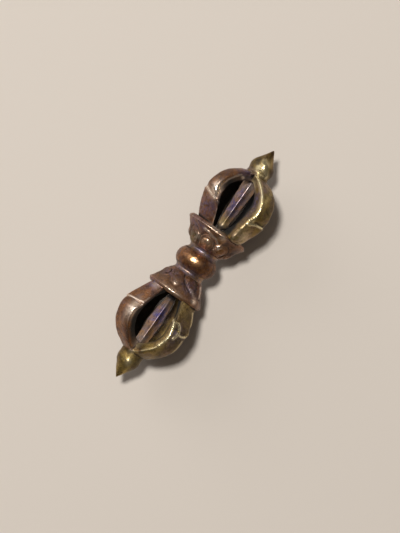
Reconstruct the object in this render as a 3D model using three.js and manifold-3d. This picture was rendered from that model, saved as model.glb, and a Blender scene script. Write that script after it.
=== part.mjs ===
// A pocket vajra amulet: a waisted stack of hub, necks and lotus collars, with a four-pronged cage,
// a centre prong and a pointed bud at each end. Millimetres, X along the length, Z up.
// The hub's centre is the origin, and the amulet lies on the worn crests of its four back prongs.
import * as THREE from "three";
import { mergeVertices } from "three/addons/utils/BufferGeometryUtils.js";
import Module from "manifold-3d";

const wasm = await Module();
wasm.setup();

// The whole amulet
const overallLength = 60;
const lowerEndExtra = 0.8;
const upperCageLength = 14.2;
const lowerCageLength = 15.0;
const restHeight = 8.1;

// Hub and necks
const hubHalfLength = 1.9;
const hubRadius = 4.8;
const hubEndRadius = 3.95;
const hubRoundness = 2.2;
const neckLength = 1.4;
const neckWaistRadius = 3.42;
const neckEndRadius = 3.7;
const turnSteps = 40;

// The pin that ties the stack together, and the clearance round every peg
const pinRadius = 1.0;
const pinDepthInCollar = 2.2;
const pegClearance = 0.1;
const pegEndGap = 0.15;

// Lotus collars
const collarLength = 5.4;
const collarLipLength = 0.85;
const collarLipDrop = 0.6;
const upperRimRadius = 6.9;
const lowerRimRadius = 6.4;
const collarDish = 0.5;
const collarDishRadius = 2.4;
const petalCount = 8;
const petalLength = 3.3;
const petalRelief = 0.36;
const lobeRelief = 0.16;
const upperPetalTurn = 37;
const lowerPetalTurn = 15;

// Pellets set round each collar
const upperPelletRadius = 1.1;
const lowerPelletRadius = 0.95;
const upperPelletHeight = 0.6;
const lowerPelletHeight = 0.35;
const pelletSeatDepth = 0.55;
const pelletFromBase = 1.6;

// Outer prongs: where the front and back ones stand round the axis, in degrees from the side
const frontAzimuth = 45;
const backAzimuth = 56;

// Outer prongs, along the axis from the collar's top face
const crestAt = 5.3;
const crestStep = 0.25;
const crestStepLength = 0.35;
const crestThickness = 2.6;
const bellyAt = 7.4;
const upperTipThickness = 1.6;
const lowerTipThickness = 2.4;

// Outer prongs, across
const footInnerRadius = 3.2;
const footInnerWidth = 2.5;
const frontInnerWidth = 2.8;
const backInnerWidth = 3.4;
const tipOuterRadius = 3.1;
const tipInnerRadius = 2.3;
const frontTipInnerWidth = 3.4;
const backTipInnerWidth = 1.8;
const tipEndRadius = 1.4;
const tipEndWidth = 1.6;
const tipLean = 0.35;
const prongBevel = 0.4;
const prongPegRadius = 0.7;
const prongPegLength = 1.3;

// The outer faces of the prongs, each a little different as bent and filed by hand. A lean moves the
// foot or the tip of a front prong sideways, towards the other front prong.
const PRONG_FACES = {
  upper_front_left: {
    foot: 5.3,
    crest: 7.9,
    belly: 9.2,
    bellyInner: 6.5,
    footWidth: 5.7,
    crestWidth: 6.8,
    bellyWidth: 3.8,
    tipWidth: 3.4,
    footLean: 0,
  },
  upper_front_right: {
    foot: 7.2,
    crest: 9.2,
    belly: 9.7,
    bellyInner: 5.4,
    footWidth: 4.1,
    crestWidth: 5.8,
    bellyWidth: 4.3,
    tipWidth: 3.9,
    footLean: 0.8,
  },
  lower_front_left: {
    foot: 6.2,
    crest: 8.95,
    belly: 9.8,
    bellyInner: 6.4,
    footWidth: 4.5,
    crestWidth: 6.0,
    bellyWidth: 5.0,
    tipWidth: 3.4,
    footLean: 0,
  },
  lower_front_right: {
    foot: 6.2,
    crest: 8.5,
    belly: 8.8,
    bellyInner: 5.6,
    footWidth: 5.2,
    crestWidth: 5.9,
    bellyWidth: 4.9,
    tipWidth: 3.9,
    footLean: 0,
  },
  back: {
    foot: 5.8,
    crest: 8.5,
    belly: 9.0,
    bellyInner: 5.4,
    footWidth: 4.9,
    crestWidth: 5.6,
    bellyWidth: 4.5,
    tipWidth: 2.8,
    footLean: 0,
  },
};

// Centre prongs, square bars set corner up between the outer prongs
const barHalfDiagonal = 1.52;
const barFootHalfDiagonal = 1.15;
const barHeadHalfDiagonal = 1.3;
const barPegRadius = 0.8;
const barPegLength = 1.4;

// Buds at the two tips
const budBaseRadius = 2.5;
const upperBudRadius = 2.8;
const lowerBudRadius = 2.65;
const budShoulderAt = 2.1;
const budTipRadius = 0.25;
const budSteps = 24;

const bronze = { color: 0x6f4a35, roughness: 0.38, metalness: 1 };
const brassy = { color: 0x86703c, roughness: 0.36, metalness: 1 };
const violet = { color: 0x6b5f6b, roughness: 0.32, metalness: 1 };

const radians = (degrees) => (degrees * Math.PI) / 180;
const mix = (a, b, t) => a + (b - a) * t;

const collarBaseAt = hubHalfLength + neckLength;
const collarTopAt = collarBaseAt + collarLength;
const pinReach = collarBaseAt + pinDepthInCollar;
const upperReach = (overallLength - lowerEndExtra) / 2;
const lowerReach = (overallLength + lowerEndExtra) / 2;

// What differs between the two ends; fullness shapes a prong's shoulder, and turn points the end along X
const ENDS = {
  upper: {
    turn: 0,
    rim: upperRimRadius,
    petalTurn: upperPetalTurn,
    pelletRadius: upperPelletRadius,
    pelletHeight: upperPelletHeight,
    cageLength: upperCageLength,
    fullness: 1.4,
    tipThickness: upperTipThickness,
    budRadius: upperBudRadius,
    budLength: upperReach - collarTopAt - upperCageLength,
  },
  lower: {
    turn: 180,
    rim: lowerRimRadius,
    petalTurn: lowerPetalTurn,
    pelletRadius: lowerPelletRadius,
    pelletHeight: lowerPelletHeight,
    cageLength: lowerCageLength,
    fullness: 1.25,
    tipThickness: lowerTipThickness,
    budRadius: lowerBudRadius,
    budLength: lowerReach - collarTopAt - lowerCageLength,
  },
};

// A closed solid skinned over rings of points, each ring with the same number of points.
function skin(rings) {
  const points = [];
  const faces = [];
  const n = rings[0].length;
  rings.forEach((ring) => ring.forEach((p) => points.push(p.x, p.y, p.z)));
  for (let i = 0; i + 1 < rings.length; i++) {
    for (let k = 0; k < n; k++) {
      const a = i * n + k;
      const b = i * n + ((k + 1) % n);
      faces.push(a, b, a + n, b, b + n, a + n);
    }
  }
  [rings[0], rings[rings.length - 1]].forEach((ring, last) => {
    const centre = ring.reduce((sum, p) => sum.add(p), new THREE.Vector3()).divideScalar(n);
    const c = points.length / 3;
    const base = last ? (rings.length - 1) * n : 0;
    points.push(centre.x, centre.y, centre.z);
    for (let k = 0; k < n; k++) {
      const a = base + k;
      const b = base + ((k + 1) % n);
      faces.push(...(last ? [a, b, c] : [b, a, c]));
    }
  });
  const geometry = new THREE.BufferGeometry();
  geometry.setAttribute("position", new THREE.Float32BufferAttribute(points, 3));
  geometry.setIndex(faces);
  return geometry;
}

function solidOf(geometry) {
  const bare = geometry.clone();
  bare.deleteAttribute("normal");
  bare.deleteAttribute("uv");
  const merged = mergeVertices(bare);
  const mesh = new wasm.Mesh({
    numProp: 3,
    vertProperties: new Float32Array(merged.attributes.position.array),
    triVerts: new Uint32Array(merged.index.array),
  });
  const solid = new wasm.Manifold(mesh);
  return solid;
}

function geometryOf(solid) {
  const mesh = solid.getMesh();
  const geometry = new THREE.BufferGeometry();
  geometry.setAttribute("position", new THREE.Float32BufferAttribute(mesh.vertProperties, 3));
  geometry.setIndex([...mesh.triVerts]);
  return geometry;
}

// Rings round the X axis from [x, radius] pairs, with an optional relief added to the radius.
function turned(profile, steps, relief = () => 0) {
  const rings = profile.map(([x, r]) =>
    Array.from({ length: steps }, (_, k) => {
      const a = (2 * Math.PI * k) / steps;
      const radius = r + relief(x, a);
      return new THREE.Vector3(x, radius * Math.cos(a), radius * Math.sin(a));
    }),
  );
  return skin(rings);
}

// A round rod along X, off the axis by (y, z).
function rod(from, to, radius, y = 0, z = 0, steps = 16) {
  return turned([[from, radius], [to, radius]], steps).translate(0, y, z);
}

function named(name, geometry, look) {
  const mesh = new THREE.Mesh(geometry, new THREE.MeshStandardMaterial(look));
  mesh.name = name;
  return mesh;
}

function hub() {
  const steps = 12;
  const profile = Array.from({ length: steps + 1 }, (_, i) => {
    const t = -1 + (2 * i) / steps;
    const bulge = 1 - Math.pow(Math.abs(t), hubRoundness);
    return [t * hubHalfLength, mix(hubEndRadius, hubRadius, bulge)];
  });
  const bead = solidOf(turned(profile, turnSteps));
  const bore = solidOf(rod(-hubHalfLength - 1, hubHalfLength + 1, pinRadius + pegClearance));
  return named("hub_bead", geometryOf(bead.subtract(bore)), bronze);
}

function hubPin() {
  return named("hub_pin", rod(-pinReach, pinReach, pinRadius), bronze);
}

function neck(end) {
  const steps = 6;
  const profile = Array.from({ length: steps + 1 }, (_, i) => {
    const t = -1 + (2 * i) / steps;
    const edge = t < 0 ? hubEndRadius : neckEndRadius;
    const radius = mix(neckWaistRadius, edge, Math.pow(Math.abs(t), 1.5));
    return [hubHalfLength + ((t + 1) / 2) * neckLength, radius];
  });
  const ring = solidOf(turned(profile, turnSteps));
  const bore = solidOf(rod(0, collarTopAt, pinRadius + pegClearance));
  return named(end + "_neck", geometryOf(ring.subtract(bore)), violet);
}

// The collar's radius at a distance from its base, without its petals.
function collarRadius(rim, along) {
  const t = Math.min(1, along / (collarLength - collarLipLength));
  return mix(neckEndRadius, rim, Math.pow(t, 0.9));
}

// A row of petals swells between grooves near the base, and a row of lobes between them nears the lip.
function collarRelief(along, angle) {
  const across = Math.abs(Math.cos((petalCount / 2) * angle));
  const between = Math.abs(Math.sin((petalCount / 2) * angle));
  if (along <= 0) return 0;
  if (along < petalLength) {
    return petalRelief * Math.sin((Math.PI * along) / petalLength) * (Math.pow(across, 0.6) - 0.6);
  }
  const t = Math.min(1, (along - petalLength) / (collarLength - collarLipLength - petalLength));
  return lobeRelief * Math.sin((Math.PI * t) / 2) * (between - 0.6);
}

// Where a pellet sits: on the collar's slope, its axis square to that slope.
function pelletSeat(end, index) {
  const { rim, petalTurn } = ENDS[end];
  const step = 0.2;
  const radius = collarRadius(rim, pelletFromBase);
  const rise = collarRadius(rim, pelletFromBase + step) - collarRadius(rim, pelletFromBase - step);
  const lean = Math.atan(rise / (2 * step));
  const angle = radians(petalTurn) + (2 * Math.PI * index) / petalCount;
  const outwards = new THREE.Vector3(0, Math.cos(angle), Math.sin(angle));
  const out = outwards.clone().multiplyScalar(Math.cos(lean)).setX(-Math.sin(lean));
  const at = outwards.multiplyScalar(radius).setX(collarBaseAt + pelletFromBase);
  return { at, out };
}

// A turned shape whose axis is moved onto a seat: heights run outwards from the seat's surface.
function onSeat(profile, seat, steps = 14) {
  const geometry = turned(profile, steps);
  const turn = new THREE.Quaternion().setFromUnitVectors(new THREE.Vector3(1, 0, 0), seat.out);
  return geometry.applyQuaternion(turn).translate(seat.at.x, seat.at.y, seat.at.z);
}

// Every outer prong of an end: its name, its outer face, and where it stands.
function prongPlans(end) {
  const mirrored = ENDS[end].turn === 180;
  const corners = [frontAzimuth, 180 - frontAzimuth, 180 + backAzimuth, 360 - backAzimuth];
  return corners.map((azimuth) => {
    const front = azimuth < 180;
    const plusY = Math.cos(radians(azimuth)) > 0;
    const side = plusY !== mirrored ? "left" : "right";
    const name = `${end}_${front ? "front" : "back"}_${side}`;
    const face = PRONG_FACES[front ? name : "back"];
    const innerWidth = front ? frontInnerWidth : backInnerWidth;
    const tipInnerWidth = front ? frontTipInnerWidth : backTipInnerWidth;
    const towardsFront = front ? Math.sign(90 - azimuth) : 0;
    return { name, side, azimuth, face, innerWidth, tipInnerWidth, towardsFront };
  });
}

// The radius at which a prong's peg enters the collar.
function pegRadiusFor(face) {
  return (face.foot + footInnerRadius) / 2;
}

function collar(end) {
  const { rim, petalTurn, pelletRadius, pelletHeight } = ENDS[end];
  const steps = 11;
  const span = collarLength - collarLipLength;
  const profile = Array.from({ length: steps + 1 }, (_, i) => {
    const along = (span * i) / steps;
    return [collarBaseAt + along, collarRadius(rim, along)];
  });
  profile.push([collarTopAt - collarLipLength / 3, rim - collarLipDrop / 4]);
  profile.push([collarTopAt, rim - collarLipDrop]);
  const relief = (x, a) => (x < collarTopAt ? collarRelief(x - collarBaseAt, a - radians(petalTurn)) : 0);
  let body = solidOf(turned(profile, petalCount * 8, relief));
  const dish = [
    [collarTopAt - collarDish, collarDishRadius - collarDish],
    [collarTopAt + collarDish, collarDishRadius + collarDish],
  ];
  const cuts = [
    turned(dish, turnSteps),
    rod(collarBaseAt - 1, pinReach + pegEndGap, pinRadius + pegClearance),
    rod(collarTopAt - collarDish - barPegLength - pegEndGap, collarTopAt, barPegRadius + pegClearance),
  ];
  prongPlans(end).forEach(({ azimuth, face }) => {
    const socket = rod(-prongPegLength - pegEndGap, 1, prongPegRadius + pegClearance, pegRadiusFor(face));
    cuts.push(socket.rotateX(radians(azimuth)).translate(collarTopAt, 0, 0));
  });
  for (let i = 0; i < petalCount; i++) {
    const wall = pelletRadius + pegClearance;
    cuts.push(onSeat([[-pelletSeatDepth, wall], [pelletHeight, wall]], pelletSeat(end, i)));
  }
  cuts.forEach((cut) => {
    body = body.subtract(solidOf(cut));
  });
  return named(end + "_lotus_collar", geometryOf(body), bronze);
}

function pellets(end) {
  const { pelletRadius, pelletHeight } = ENDS[end];
  const foot = pegClearance - pelletSeatDepth;
  const dome = [0, 22, 45, 68, 85].map((degrees) => {
    const a = radians(degrees);
    return [pelletHeight * Math.sin(a), pelletRadius * Math.cos(a)];
  });
  return Array.from({ length: petalCount }, (_, i) => {
    const shape = onSeat([[foot, pelletRadius], ...dome], pelletSeat(end, i));
    return named(end + "_pellet_" + (i + 1), shape, bronze);
  });
}

// One cross-section of a prong: an outer face with bevelled corners that narrows to its inner face, all
// of it moved sideways by a shift.
function prongSection(outer, inner, outerWidth, innerWidth, shift) {
  const depth = Math.hypot(outer[0] - inner[0], outer[1] - inner[1]);
  const bevel = Math.min(prongBevel, depth / 3, innerWidth / 3);
  const t = bevel / depth;
  const at = (share, half) =>
    new THREE.Vector3(mix(outer[0], inner[0], share), mix(outer[1], inner[1], share), shift + half);
  const half = outerWidth / 2;
  const small = innerWidth / 2;
  return [
    at(0, half - bevel),
    at(t, half),
    at(1 - t, small),
    at(1, small - bevel),
    at(1, bevel - small),
    at(1 - t, -small),
    at(t, -half),
    at(0, bevel - half),
  ];
}

// A prong in its own frame: X along the axis from the collar's top face, Y outwards, Z across.
function prongShape(end, { face, innerWidth, tipInnerWidth, towardsFront }) {
  const { cageLength, fullness, tipThickness } = ENDS[end];
  const crestInner = Math.min(face.bellyInner, face.crest - crestThickness);
  const rings = [];
  const footSteps = 3;
  for (let i = 0; i <= footSteps; i++) {
    const t = i / footSteps;
    const rise = Math.sin((t * Math.PI) / 2);
    rings.push(
      prongSection(
        [crestAt * t, mix(face.foot, face.crest, t)],
        [crestAt * t, mix(footInnerRadius, crestInner, rise)],
        mix(face.footWidth, face.crestWidth, t),
        mix(footInnerWidth, innerWidth, t),
        towardsFront * mix(face.footLean, 0, t),
      ),
    );
  }
  const afterCrest = crestAt + crestStepLength;
  rings.push(
    prongSection(
      [afterCrest, mix(face.crest, face.belly, 0.3) - crestStep],
      [afterCrest, mix(crestInner, face.bellyInner, 0.3)],
      mix(face.crestWidth, face.bellyWidth, 0.35),
      innerWidth,
      0,
    ),
  );
  const bowSteps = 8;
  for (let i = 0; i <= bowSteps; i++) {
    const a = (i / bowSteps) * (Math.PI / 2);
    const fall = Math.pow(Math.max(0, Math.cos(a)), 2 / fullness);
    const t = Math.sin(a);
    rings.push(
      prongSection(
        [i === bowSteps ? cageLength : mix(bellyAt, cageLength, t), mix(tipOuterRadius, face.belly, fall)],
        [mix(bellyAt, cageLength - tipThickness, t), mix(tipInnerRadius, face.bellyInner, fall)],
        mix(face.tipWidth, face.bellyWidth, fall),
        mix(tipInnerWidth, innerWidth, fall),
        towardsFront * mix(tipLean, 0, fall),
      ),
    );
  }
  rings.push(
    prongSection(
      [cageLength, tipEndRadius],
      [cageLength - tipThickness, tipEndRadius],
      tipEndWidth,
      tipEndWidth,
      towardsFront * tipLean,
    ),
  );
  const peg = rod(-prongPegLength, prongPegRadius, prongPegRadius, pegRadiusFor(face));
  return solidOf(skin(rings)).add(solidOf(peg));
}

function prong(end, plan) {
  const { name, side, azimuth } = plan;
  const shape = geometryOf(prongShape(end, plan));
  shape.applyMatrix4(new THREE.Matrix4().makeRotationX(radians(azimuth)));
  shape.translate(collarTopAt, 0, 0);
  let solid = solidOf(shape);
  if (azimuth > 180) {
    const size = overallLength;
    const table = new THREE.BoxGeometry(size, size, size).translate(0, 0, -restHeight - size / 2);
    solid = solid.subtract(solidOf(table));
  }
  return named(name + "_prong", geometryOf(solid), side === "right" ? brassy : bronze);
}

function centreProng(end) {
  const { cageLength } = ENDS[end];
  const footAt = collarTopAt - collarDish;
  const headAt = collarTopAt + cageLength;
  const length = headAt - footAt;
  const square = [
    [footAt, barFootHalfDiagonal * 0.75],
    [footAt + collarDish * 2, barFootHalfDiagonal],
    [footAt + length * 0.35, barHalfDiagonal],
    [headAt - length * 0.3, barHalfDiagonal],
    [headAt, barHeadHalfDiagonal],
  ];
  const bar = solidOf(turned(square, 4))
    .add(solidOf(rod(footAt - barPegLength, footAt + 0.5, barPegRadius)))
    .add(solidOf(rod(headAt - 0.5, headAt + barPegLength, barPegRadius)));
  return named(end + "_centre_prong", geometryOf(bar), violet);
}

function bud(end) {
  const { cageLength, budLength, budRadius } = ENDS[end];
  const base = collarTopAt + cageLength;
  const taper = budLength - budShoulderAt;
  const profile = [
    [base, budBaseRadius],
    [base + budShoulderAt * 0.25, budBaseRadius],
    [base + budShoulderAt * 0.7, mix(budBaseRadius, budRadius, 0.85)],
    [base + budShoulderAt, budRadius],
    [base + budShoulderAt + taper * 0.18, budRadius * 0.93],
    [base + budShoulderAt + taper * 0.5, budRadius * 0.58],
    [base + budLength - budTipRadius, budTipRadius],
    [base + budLength, budTipRadius * 0.4],
  ];
  const body = solidOf(turned(profile, budSteps));
  const bore = solidOf(rod(base - 1, base + barPegLength + pegEndGap, barPegRadius + pegClearance));
  return named(end + "_bud", geometryOf(body.subtract(bore)), brassy);
}

function cageEnd(end) {
  const group = new THREE.Group();
  const prongs = prongPlans(end).map((plan) => prong(end, plan));
  group.add(neck(end), collar(end), ...pellets(end), ...prongs, centreProng(end), bud(end));
  group.rotation.z = radians(ENDS[end].turn);
  return group;
}

const amulet = new THREE.Group();
amulet.add(hub(), hubPin(), cageEnd("upper"), cageEnd("lower"));

export default amulet;
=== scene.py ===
"""A cast copper-alloy vajra amulet lying on a pale table, seen from straight above.

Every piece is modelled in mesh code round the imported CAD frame, in the frame's own axes: X runs along
the amulet towards its upper end and Z points out of its front, towards the camera. Lengths are in
millimetres until a mesh is made, and metres from then on. What an end has is built pointing along X,
and turned half round about Z for the lower end.
"""

import logging
import math
from collections.abc import Callable
from dataclasses import dataclass, field
from enum import Enum

import bpy
import numpy as np
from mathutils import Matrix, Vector, noise
from mathutils.bvhtree import BVHTree


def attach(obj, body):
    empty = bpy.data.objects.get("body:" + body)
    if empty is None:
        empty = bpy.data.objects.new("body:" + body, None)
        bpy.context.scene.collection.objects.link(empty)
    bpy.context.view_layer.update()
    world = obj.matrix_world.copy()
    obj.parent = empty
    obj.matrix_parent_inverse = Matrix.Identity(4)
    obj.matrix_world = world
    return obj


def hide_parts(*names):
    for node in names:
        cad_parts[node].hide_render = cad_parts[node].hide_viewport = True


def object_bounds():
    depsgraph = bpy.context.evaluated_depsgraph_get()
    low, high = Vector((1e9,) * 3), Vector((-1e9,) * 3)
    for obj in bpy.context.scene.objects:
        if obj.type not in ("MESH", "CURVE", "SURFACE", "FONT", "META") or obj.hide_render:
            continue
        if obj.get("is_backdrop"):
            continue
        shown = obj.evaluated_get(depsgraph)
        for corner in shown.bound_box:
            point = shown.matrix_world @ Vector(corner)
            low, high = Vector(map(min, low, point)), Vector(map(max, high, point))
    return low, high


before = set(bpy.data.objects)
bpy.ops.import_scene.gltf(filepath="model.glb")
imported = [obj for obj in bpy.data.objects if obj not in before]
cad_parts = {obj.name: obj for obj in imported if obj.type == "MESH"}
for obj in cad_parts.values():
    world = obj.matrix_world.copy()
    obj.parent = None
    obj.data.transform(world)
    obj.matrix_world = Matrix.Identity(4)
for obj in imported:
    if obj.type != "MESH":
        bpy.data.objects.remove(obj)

LOG = logging.getLogger("vajra")
MM = 0.001
FULL_TURN = 2 * math.pi
Point = tuple[float, float]
Colour = tuple[float, float, float]
Face = tuple[int, ...]
Row = tuple[float, ...]
Numbers = np.ndarray | float
Socket = bpy.types.NodeSocket


def blend(a: Numbers, b: Numbers, t: Numbers) -> Numbers:
    """Goes from a to b as t goes from 0 to 1."""
    return a + (b - a) * t


def ease(t: Numbers) -> Numbers:
    """Smooths a ramp from 0 to 1 at both ends, and holds what lies outside it."""
    t = np.clip(t, 0.0, 1.0)
    return t * t * (3 - 2 * t)


def bell(distance: Numbers, width: Numbers) -> Numbers:
    """Falls from 1 at no distance to about a third at the width, and on to 0."""
    return np.exp(-((distance / width) ** 2))


def lumps(points: np.ndarray, span: float, seed: float) -> np.ndarray:
    """Reads a smooth noise over space, about -1 to 1, with lumps of one span and a seed of its own."""
    shift = Vector((seed * 13.7, seed * 7.3, seed * 3.1))
    return np.array([noise.noise(Vector(p) / span + shift) for p in points])


def smoothed(values: np.ndarray, width: int) -> np.ndarray:
    """Averages a row of numbers over a soft window, an odd number of steps wide."""
    kernel = np.hanning(width) / np.hanning(width).sum()
    return np.convolve(np.pad(values, width // 2, mode="edge"), kernel, mode="valid")


def summed(total: int, corners: np.ndarray, shares: list[np.ndarray]) -> np.ndarray:
    """Adds up at every vertex what the faces or edges that meet there give it.

    Args:
        total: how many vertices there are.
        corners: vertex numbers, one row a face or edge.
        shares: what each face or edge gives, one array for every column of corners.

    Returns:
        The sums, one row a vertex.
    """
    out = np.zeros((total, *shares[0].shape[1:]))
    for column, share in zip(corners.T, shares):
        np.add.at(out, column, share)
    return out


def added(name: str, data: bpy.types.ID) -> bpy.types.Object:
    """Puts a mesh, a light or a camera into the scene.

    Args:
        name: the object's name.
        data: what it holds.

    Returns:
        The object.
    """
    item = bpy.data.objects.new(name, data)
    bpy.context.scene.collection.objects.link(item)
    return item


class End(Enum):
    """The two ends of the amulet."""

    UPPER = "upper"
    LOWER = "lower"

    @property
    def sign(self) -> float:
        """The direction in which this end points along X."""
        return 1.0 if self is End.UPPER else -1.0

    def faced(self, points: np.ndarray) -> np.ndarray:
        """Turns what was built for the upper end half round about Z if this is the lower one."""
        return points * np.array([self.sign, self.sign, 1.0])


class Corner(Enum):
    """The corners of a cage that its outer prongs stand on."""

    FRONT_LEFT = "front_left"
    FRONT_RIGHT = "front_right"
    BACK_LEFT = "back_left"
    BACK_RIGHT = "back_right"

    @property
    def is_front(self) -> bool:
        """Whether the prong is on the camera's side."""
        return self in (Corner.FRONT_LEFT, Corner.FRONT_RIGHT)

    @property
    def is_left(self) -> bool:
        """Whether the prong is on the side that Y points to."""
        return self in (Corner.FRONT_LEFT, Corner.BACK_LEFT)


@dataclass
class Surface:
    """A closed surface: one row a vertex, in millimetres, and faces anticlockwise from outside."""

    points: np.ndarray
    faces: list[Face]
    triangles: np.ndarray = field(init=False)

    def __post_init__(self) -> None:
        """Splits the faces into triangles."""
        rows = [(f[0], f[i], f[i + 1]) for f in self.faces for i in range(1, len(f) - 1)]
        self.triangles = np.array(rows)

    @classmethod
    def skinned(cls, rings: np.ndarray) -> "Surface":
        """Closes a skin over rings that each have the same number of points.

        Args:
            rings: an array of rings by points by 3.

        Returns:
            The closed surface, each end drawn in to its own centre.
        """
        total, count = rings.shape[:2]
        faces: list[Face] = []
        for i in range(total - 1):
            for k in range(count):
                a, b = i * count + k, i * count + (k + 1) % count
                faces.append((a, b, b + count, a + count))
        centre, last = total * count, (total - 1) * count
        for k in range(count):
            n = (k + 1) % count
            faces.append((n, k, centre))
            faces.append((last + k, last + n, centre + 1))
        ends = np.array([rings[0].mean(axis=0), rings[-1].mean(axis=0)])
        return cls(np.vstack([rings.reshape(-1, 3), ends]), faces)

    @classmethod
    def squared(
        cls, x: np.ndarray, radius: np.ndarray, sharpness: np.ndarray, end: End, steps: int
    ) -> "Surface":
        """Skins a bar on the axis whose section goes from a circle towards a square set corner up.

        Args:
            x: places along the axis.
            radius: from the axis to the corners, one a place.
            sharpness: 0 for a circle and 1 for a square, one a place.
            end: the end it stands on.
            steps: points a ring.

        Returns:
            The closed surface.
        """
        turns = np.linspace(0, FULL_TURN, steps, endpoint=False)
        diamond = np.abs(np.cos(turns)) + np.abs(np.sin(turns))
        spread = radius[:, None] / diamond[None, :] ** sharpness[:, None]
        along = np.repeat(x[:, None], steps, axis=1)
        rings = np.stack([along, spread * np.cos(turns), spread * np.sin(turns)], axis=2)
        return cls.skinned(end.faced(rings))

    def normals(self) -> np.ndarray:
        """Works out area-weighted vertex normals.

        Returns:
            One unit vector a vertex.
        """
        p, t = self.points, self.triangles
        cross = np.cross(p[t[:, 1]] - p[t[:, 0]], p[t[:, 2]] - p[t[:, 0]])
        out = summed(len(p), t, [cross] * 3)
        return out / np.maximum(np.linalg.norm(out, axis=1, keepdims=True), 1e-12)

    def front(self, margin: float, ramp: float = 0.4) -> np.ndarray:
        """How far each vertex faces the camera, from 0 a margin behind the side to 1 a ramp further round."""
        return ease((self.normals()[:, 2] + margin) / ramp)

    def edges(self) -> np.ndarray:
        """Lists each edge once.

        Returns:
            Pairs of vertex numbers.
        """
        t = self.triangles
        pairs = np.vstack([t[:, [0, 1]], t[:, [1, 2]], t[:, [2, 0]]])
        return np.unique(np.sort(pairs, axis=1), axis=0)

    def rest_on(self, level: float) -> None:
        """Wears flat whatever would sink into the table at this level."""
        self.points[:, 2] = np.maximum(self.points[:, 2], level)

    def push(self, depth: np.ndarray) -> None:
        """Moves every vertex outwards along its normal, each by its own depth."""
        self.points = self.points + self.normals() * depth[:, None]


@dataclass(frozen=True)
class HandWork:
    """How uneven casting, filing and wear left a piece: depths and spans in millimetres.

    Pits and pinholes open where their noise passes a level. The pinholes' span and depth are shares of
    the grain's.
    """

    seed: float
    swell: float = 0.12
    swell_span: float = 4.0
    dents: float = 0.06
    dents_span: float = 1.3
    dents_share: float = 0.7
    pits_level: float = 0.22
    pits_depth: float = 1.7
    grain: float = 0.012
    grain_span: float = 0.34
    holes_level: float = 0.42
    holes_span: float = 1.9
    holes_depth: float = 7.0

    def shape(self, surface: Surface) -> None:
        """Adds the broad swelling and the dents.

        Args:
            surface: changed in place.
        """
        low = lumps(surface.points, self.swell_span, self.seed)
        mid = lumps(surface.points, self.dents_span, self.seed * 2 + 1)
        pits = np.maximum(0.0, mid - self.pits_level) * self.pits_depth
        surface.push(self.swell * low + self.dents * (self.dents_share * mid - pits))

    def texture(self, surface: Surface) -> None:
        """Adds the fine grain and the pinholes of the casting.

        Args:
            surface: changed in place.
        """
        fine = lumps(surface.points, self.grain_span, self.seed * 3 + 2)
        coarse = lumps(surface.points, self.grain_span * self.holes_span, self.seed + 5)
        holes = np.maximum(0.0, coarse - self.holes_level)
        surface.push(self.grain * fine - self.grain * self.holes_depth * holes)


@dataclass(frozen=True)
class Ridge:
    """A raised or sunk line across the front of a piece, in millimetres along X and Y.

    Its width wobbles by a share, as a line cut by hand does.
    """

    path: tuple[Point, ...]
    height: float
    width: float = 0.2
    wobble: float = 0.15
    wobble_span: float = 0.8

    def nearness(self, points: np.ndarray) -> np.ndarray:
        """How close each point lies to the line, seen from above.

        Args:
            points: the surface's points.

        Returns:
            1 on the line, falling to 0 beside it.
        """
        nearest = np.full(len(points), 1e9)
        flat = points[:, :2]
        for a, b in zip(self.path[:-1], self.path[1:]):
            start, along = np.array(a), np.array(b) - np.array(a)
            t = np.clip((flat - start) @ along / (along @ along), 0, 1)
            nearest = np.minimum(nearest, np.linalg.norm(flat - start - t[:, None] * along, axis=1))
        uneven = lumps(points, self.wobble_span, self.path[0][0])
        return bell(nearest, self.width * (1 + self.wobble * uneven))


@dataclass(frozen=True)
class Dab:
    """A round bump or hollow on the front of a piece, in millimetres along X and Y."""

    at: Point
    height: float
    radius: float
    stretch: float = 1.0
    fall: float = 1.4

    def nearness(self, points: np.ndarray) -> np.ndarray:
        """How close each point lies to the middle, seen from above.

        Args:
            points: the surface's points.

        Returns:
            1 in the middle, falling to 0 outside.
        """
        along = (points[:, 0] - self.at[0]) / (self.radius * self.stretch)
        across = (points[:, 1] - self.at[1]) / self.radius
        return np.exp(-(along**2 + across**2) * self.fall)


@dataclass(frozen=True)
class Chisel:
    """Marks that a single piece has and its neighbours don't, and how they shine, partly as painted
    highlights, and hold grime.
    """

    marks: tuple[Ridge | Dab, ...]
    margin: float = 0.1
    shine: float = 6.0
    grime: float = 2.2
    most_grime: float = 0.7

    def cut(self, surface: Surface) -> None:
        """Cuts the marks into the camera's side of the surface.

        Args:
            surface: changed in place.
        """
        facing = surface.front(self.margin)
        raised, sunk = np.zeros(len(surface.points)), np.zeros(len(surface.points))
        for mark in self.marks:
            height = mark.height * mark.nearness(surface.points)
            raised, sunk = np.maximum(raised, height), np.minimum(sunk, height)
        surface.push((raised + sunk) * facing)

    def traces(self, surface: Surface) -> tuple[np.ndarray, np.ndarray]:
        """Where the marks are rubbed bright, partly as painted highlights, and where they hold grime.

        Args:
            surface: the piece's surface.

        Returns:
            How bright, from wear and painted highlights, and how dirty every vertex is.
        """
        facing = surface.front(self.margin)
        bright, dirty = np.zeros(len(surface.points)), np.zeros(len(surface.points))
        for mark in self.marks:
            near = mark.nearness(surface.points) * facing
            if mark.height > 0:
                # Raised marks get the bright bare colour: rubbed wear, partly painted highlights.
                bright = np.maximum(bright, near * min(1.0, self.shine * mark.height))
            else:
                dirty = np.maximum(dirty, near * min(self.most_grime, -self.grime * mark.height))
        return bright, dirty


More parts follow.
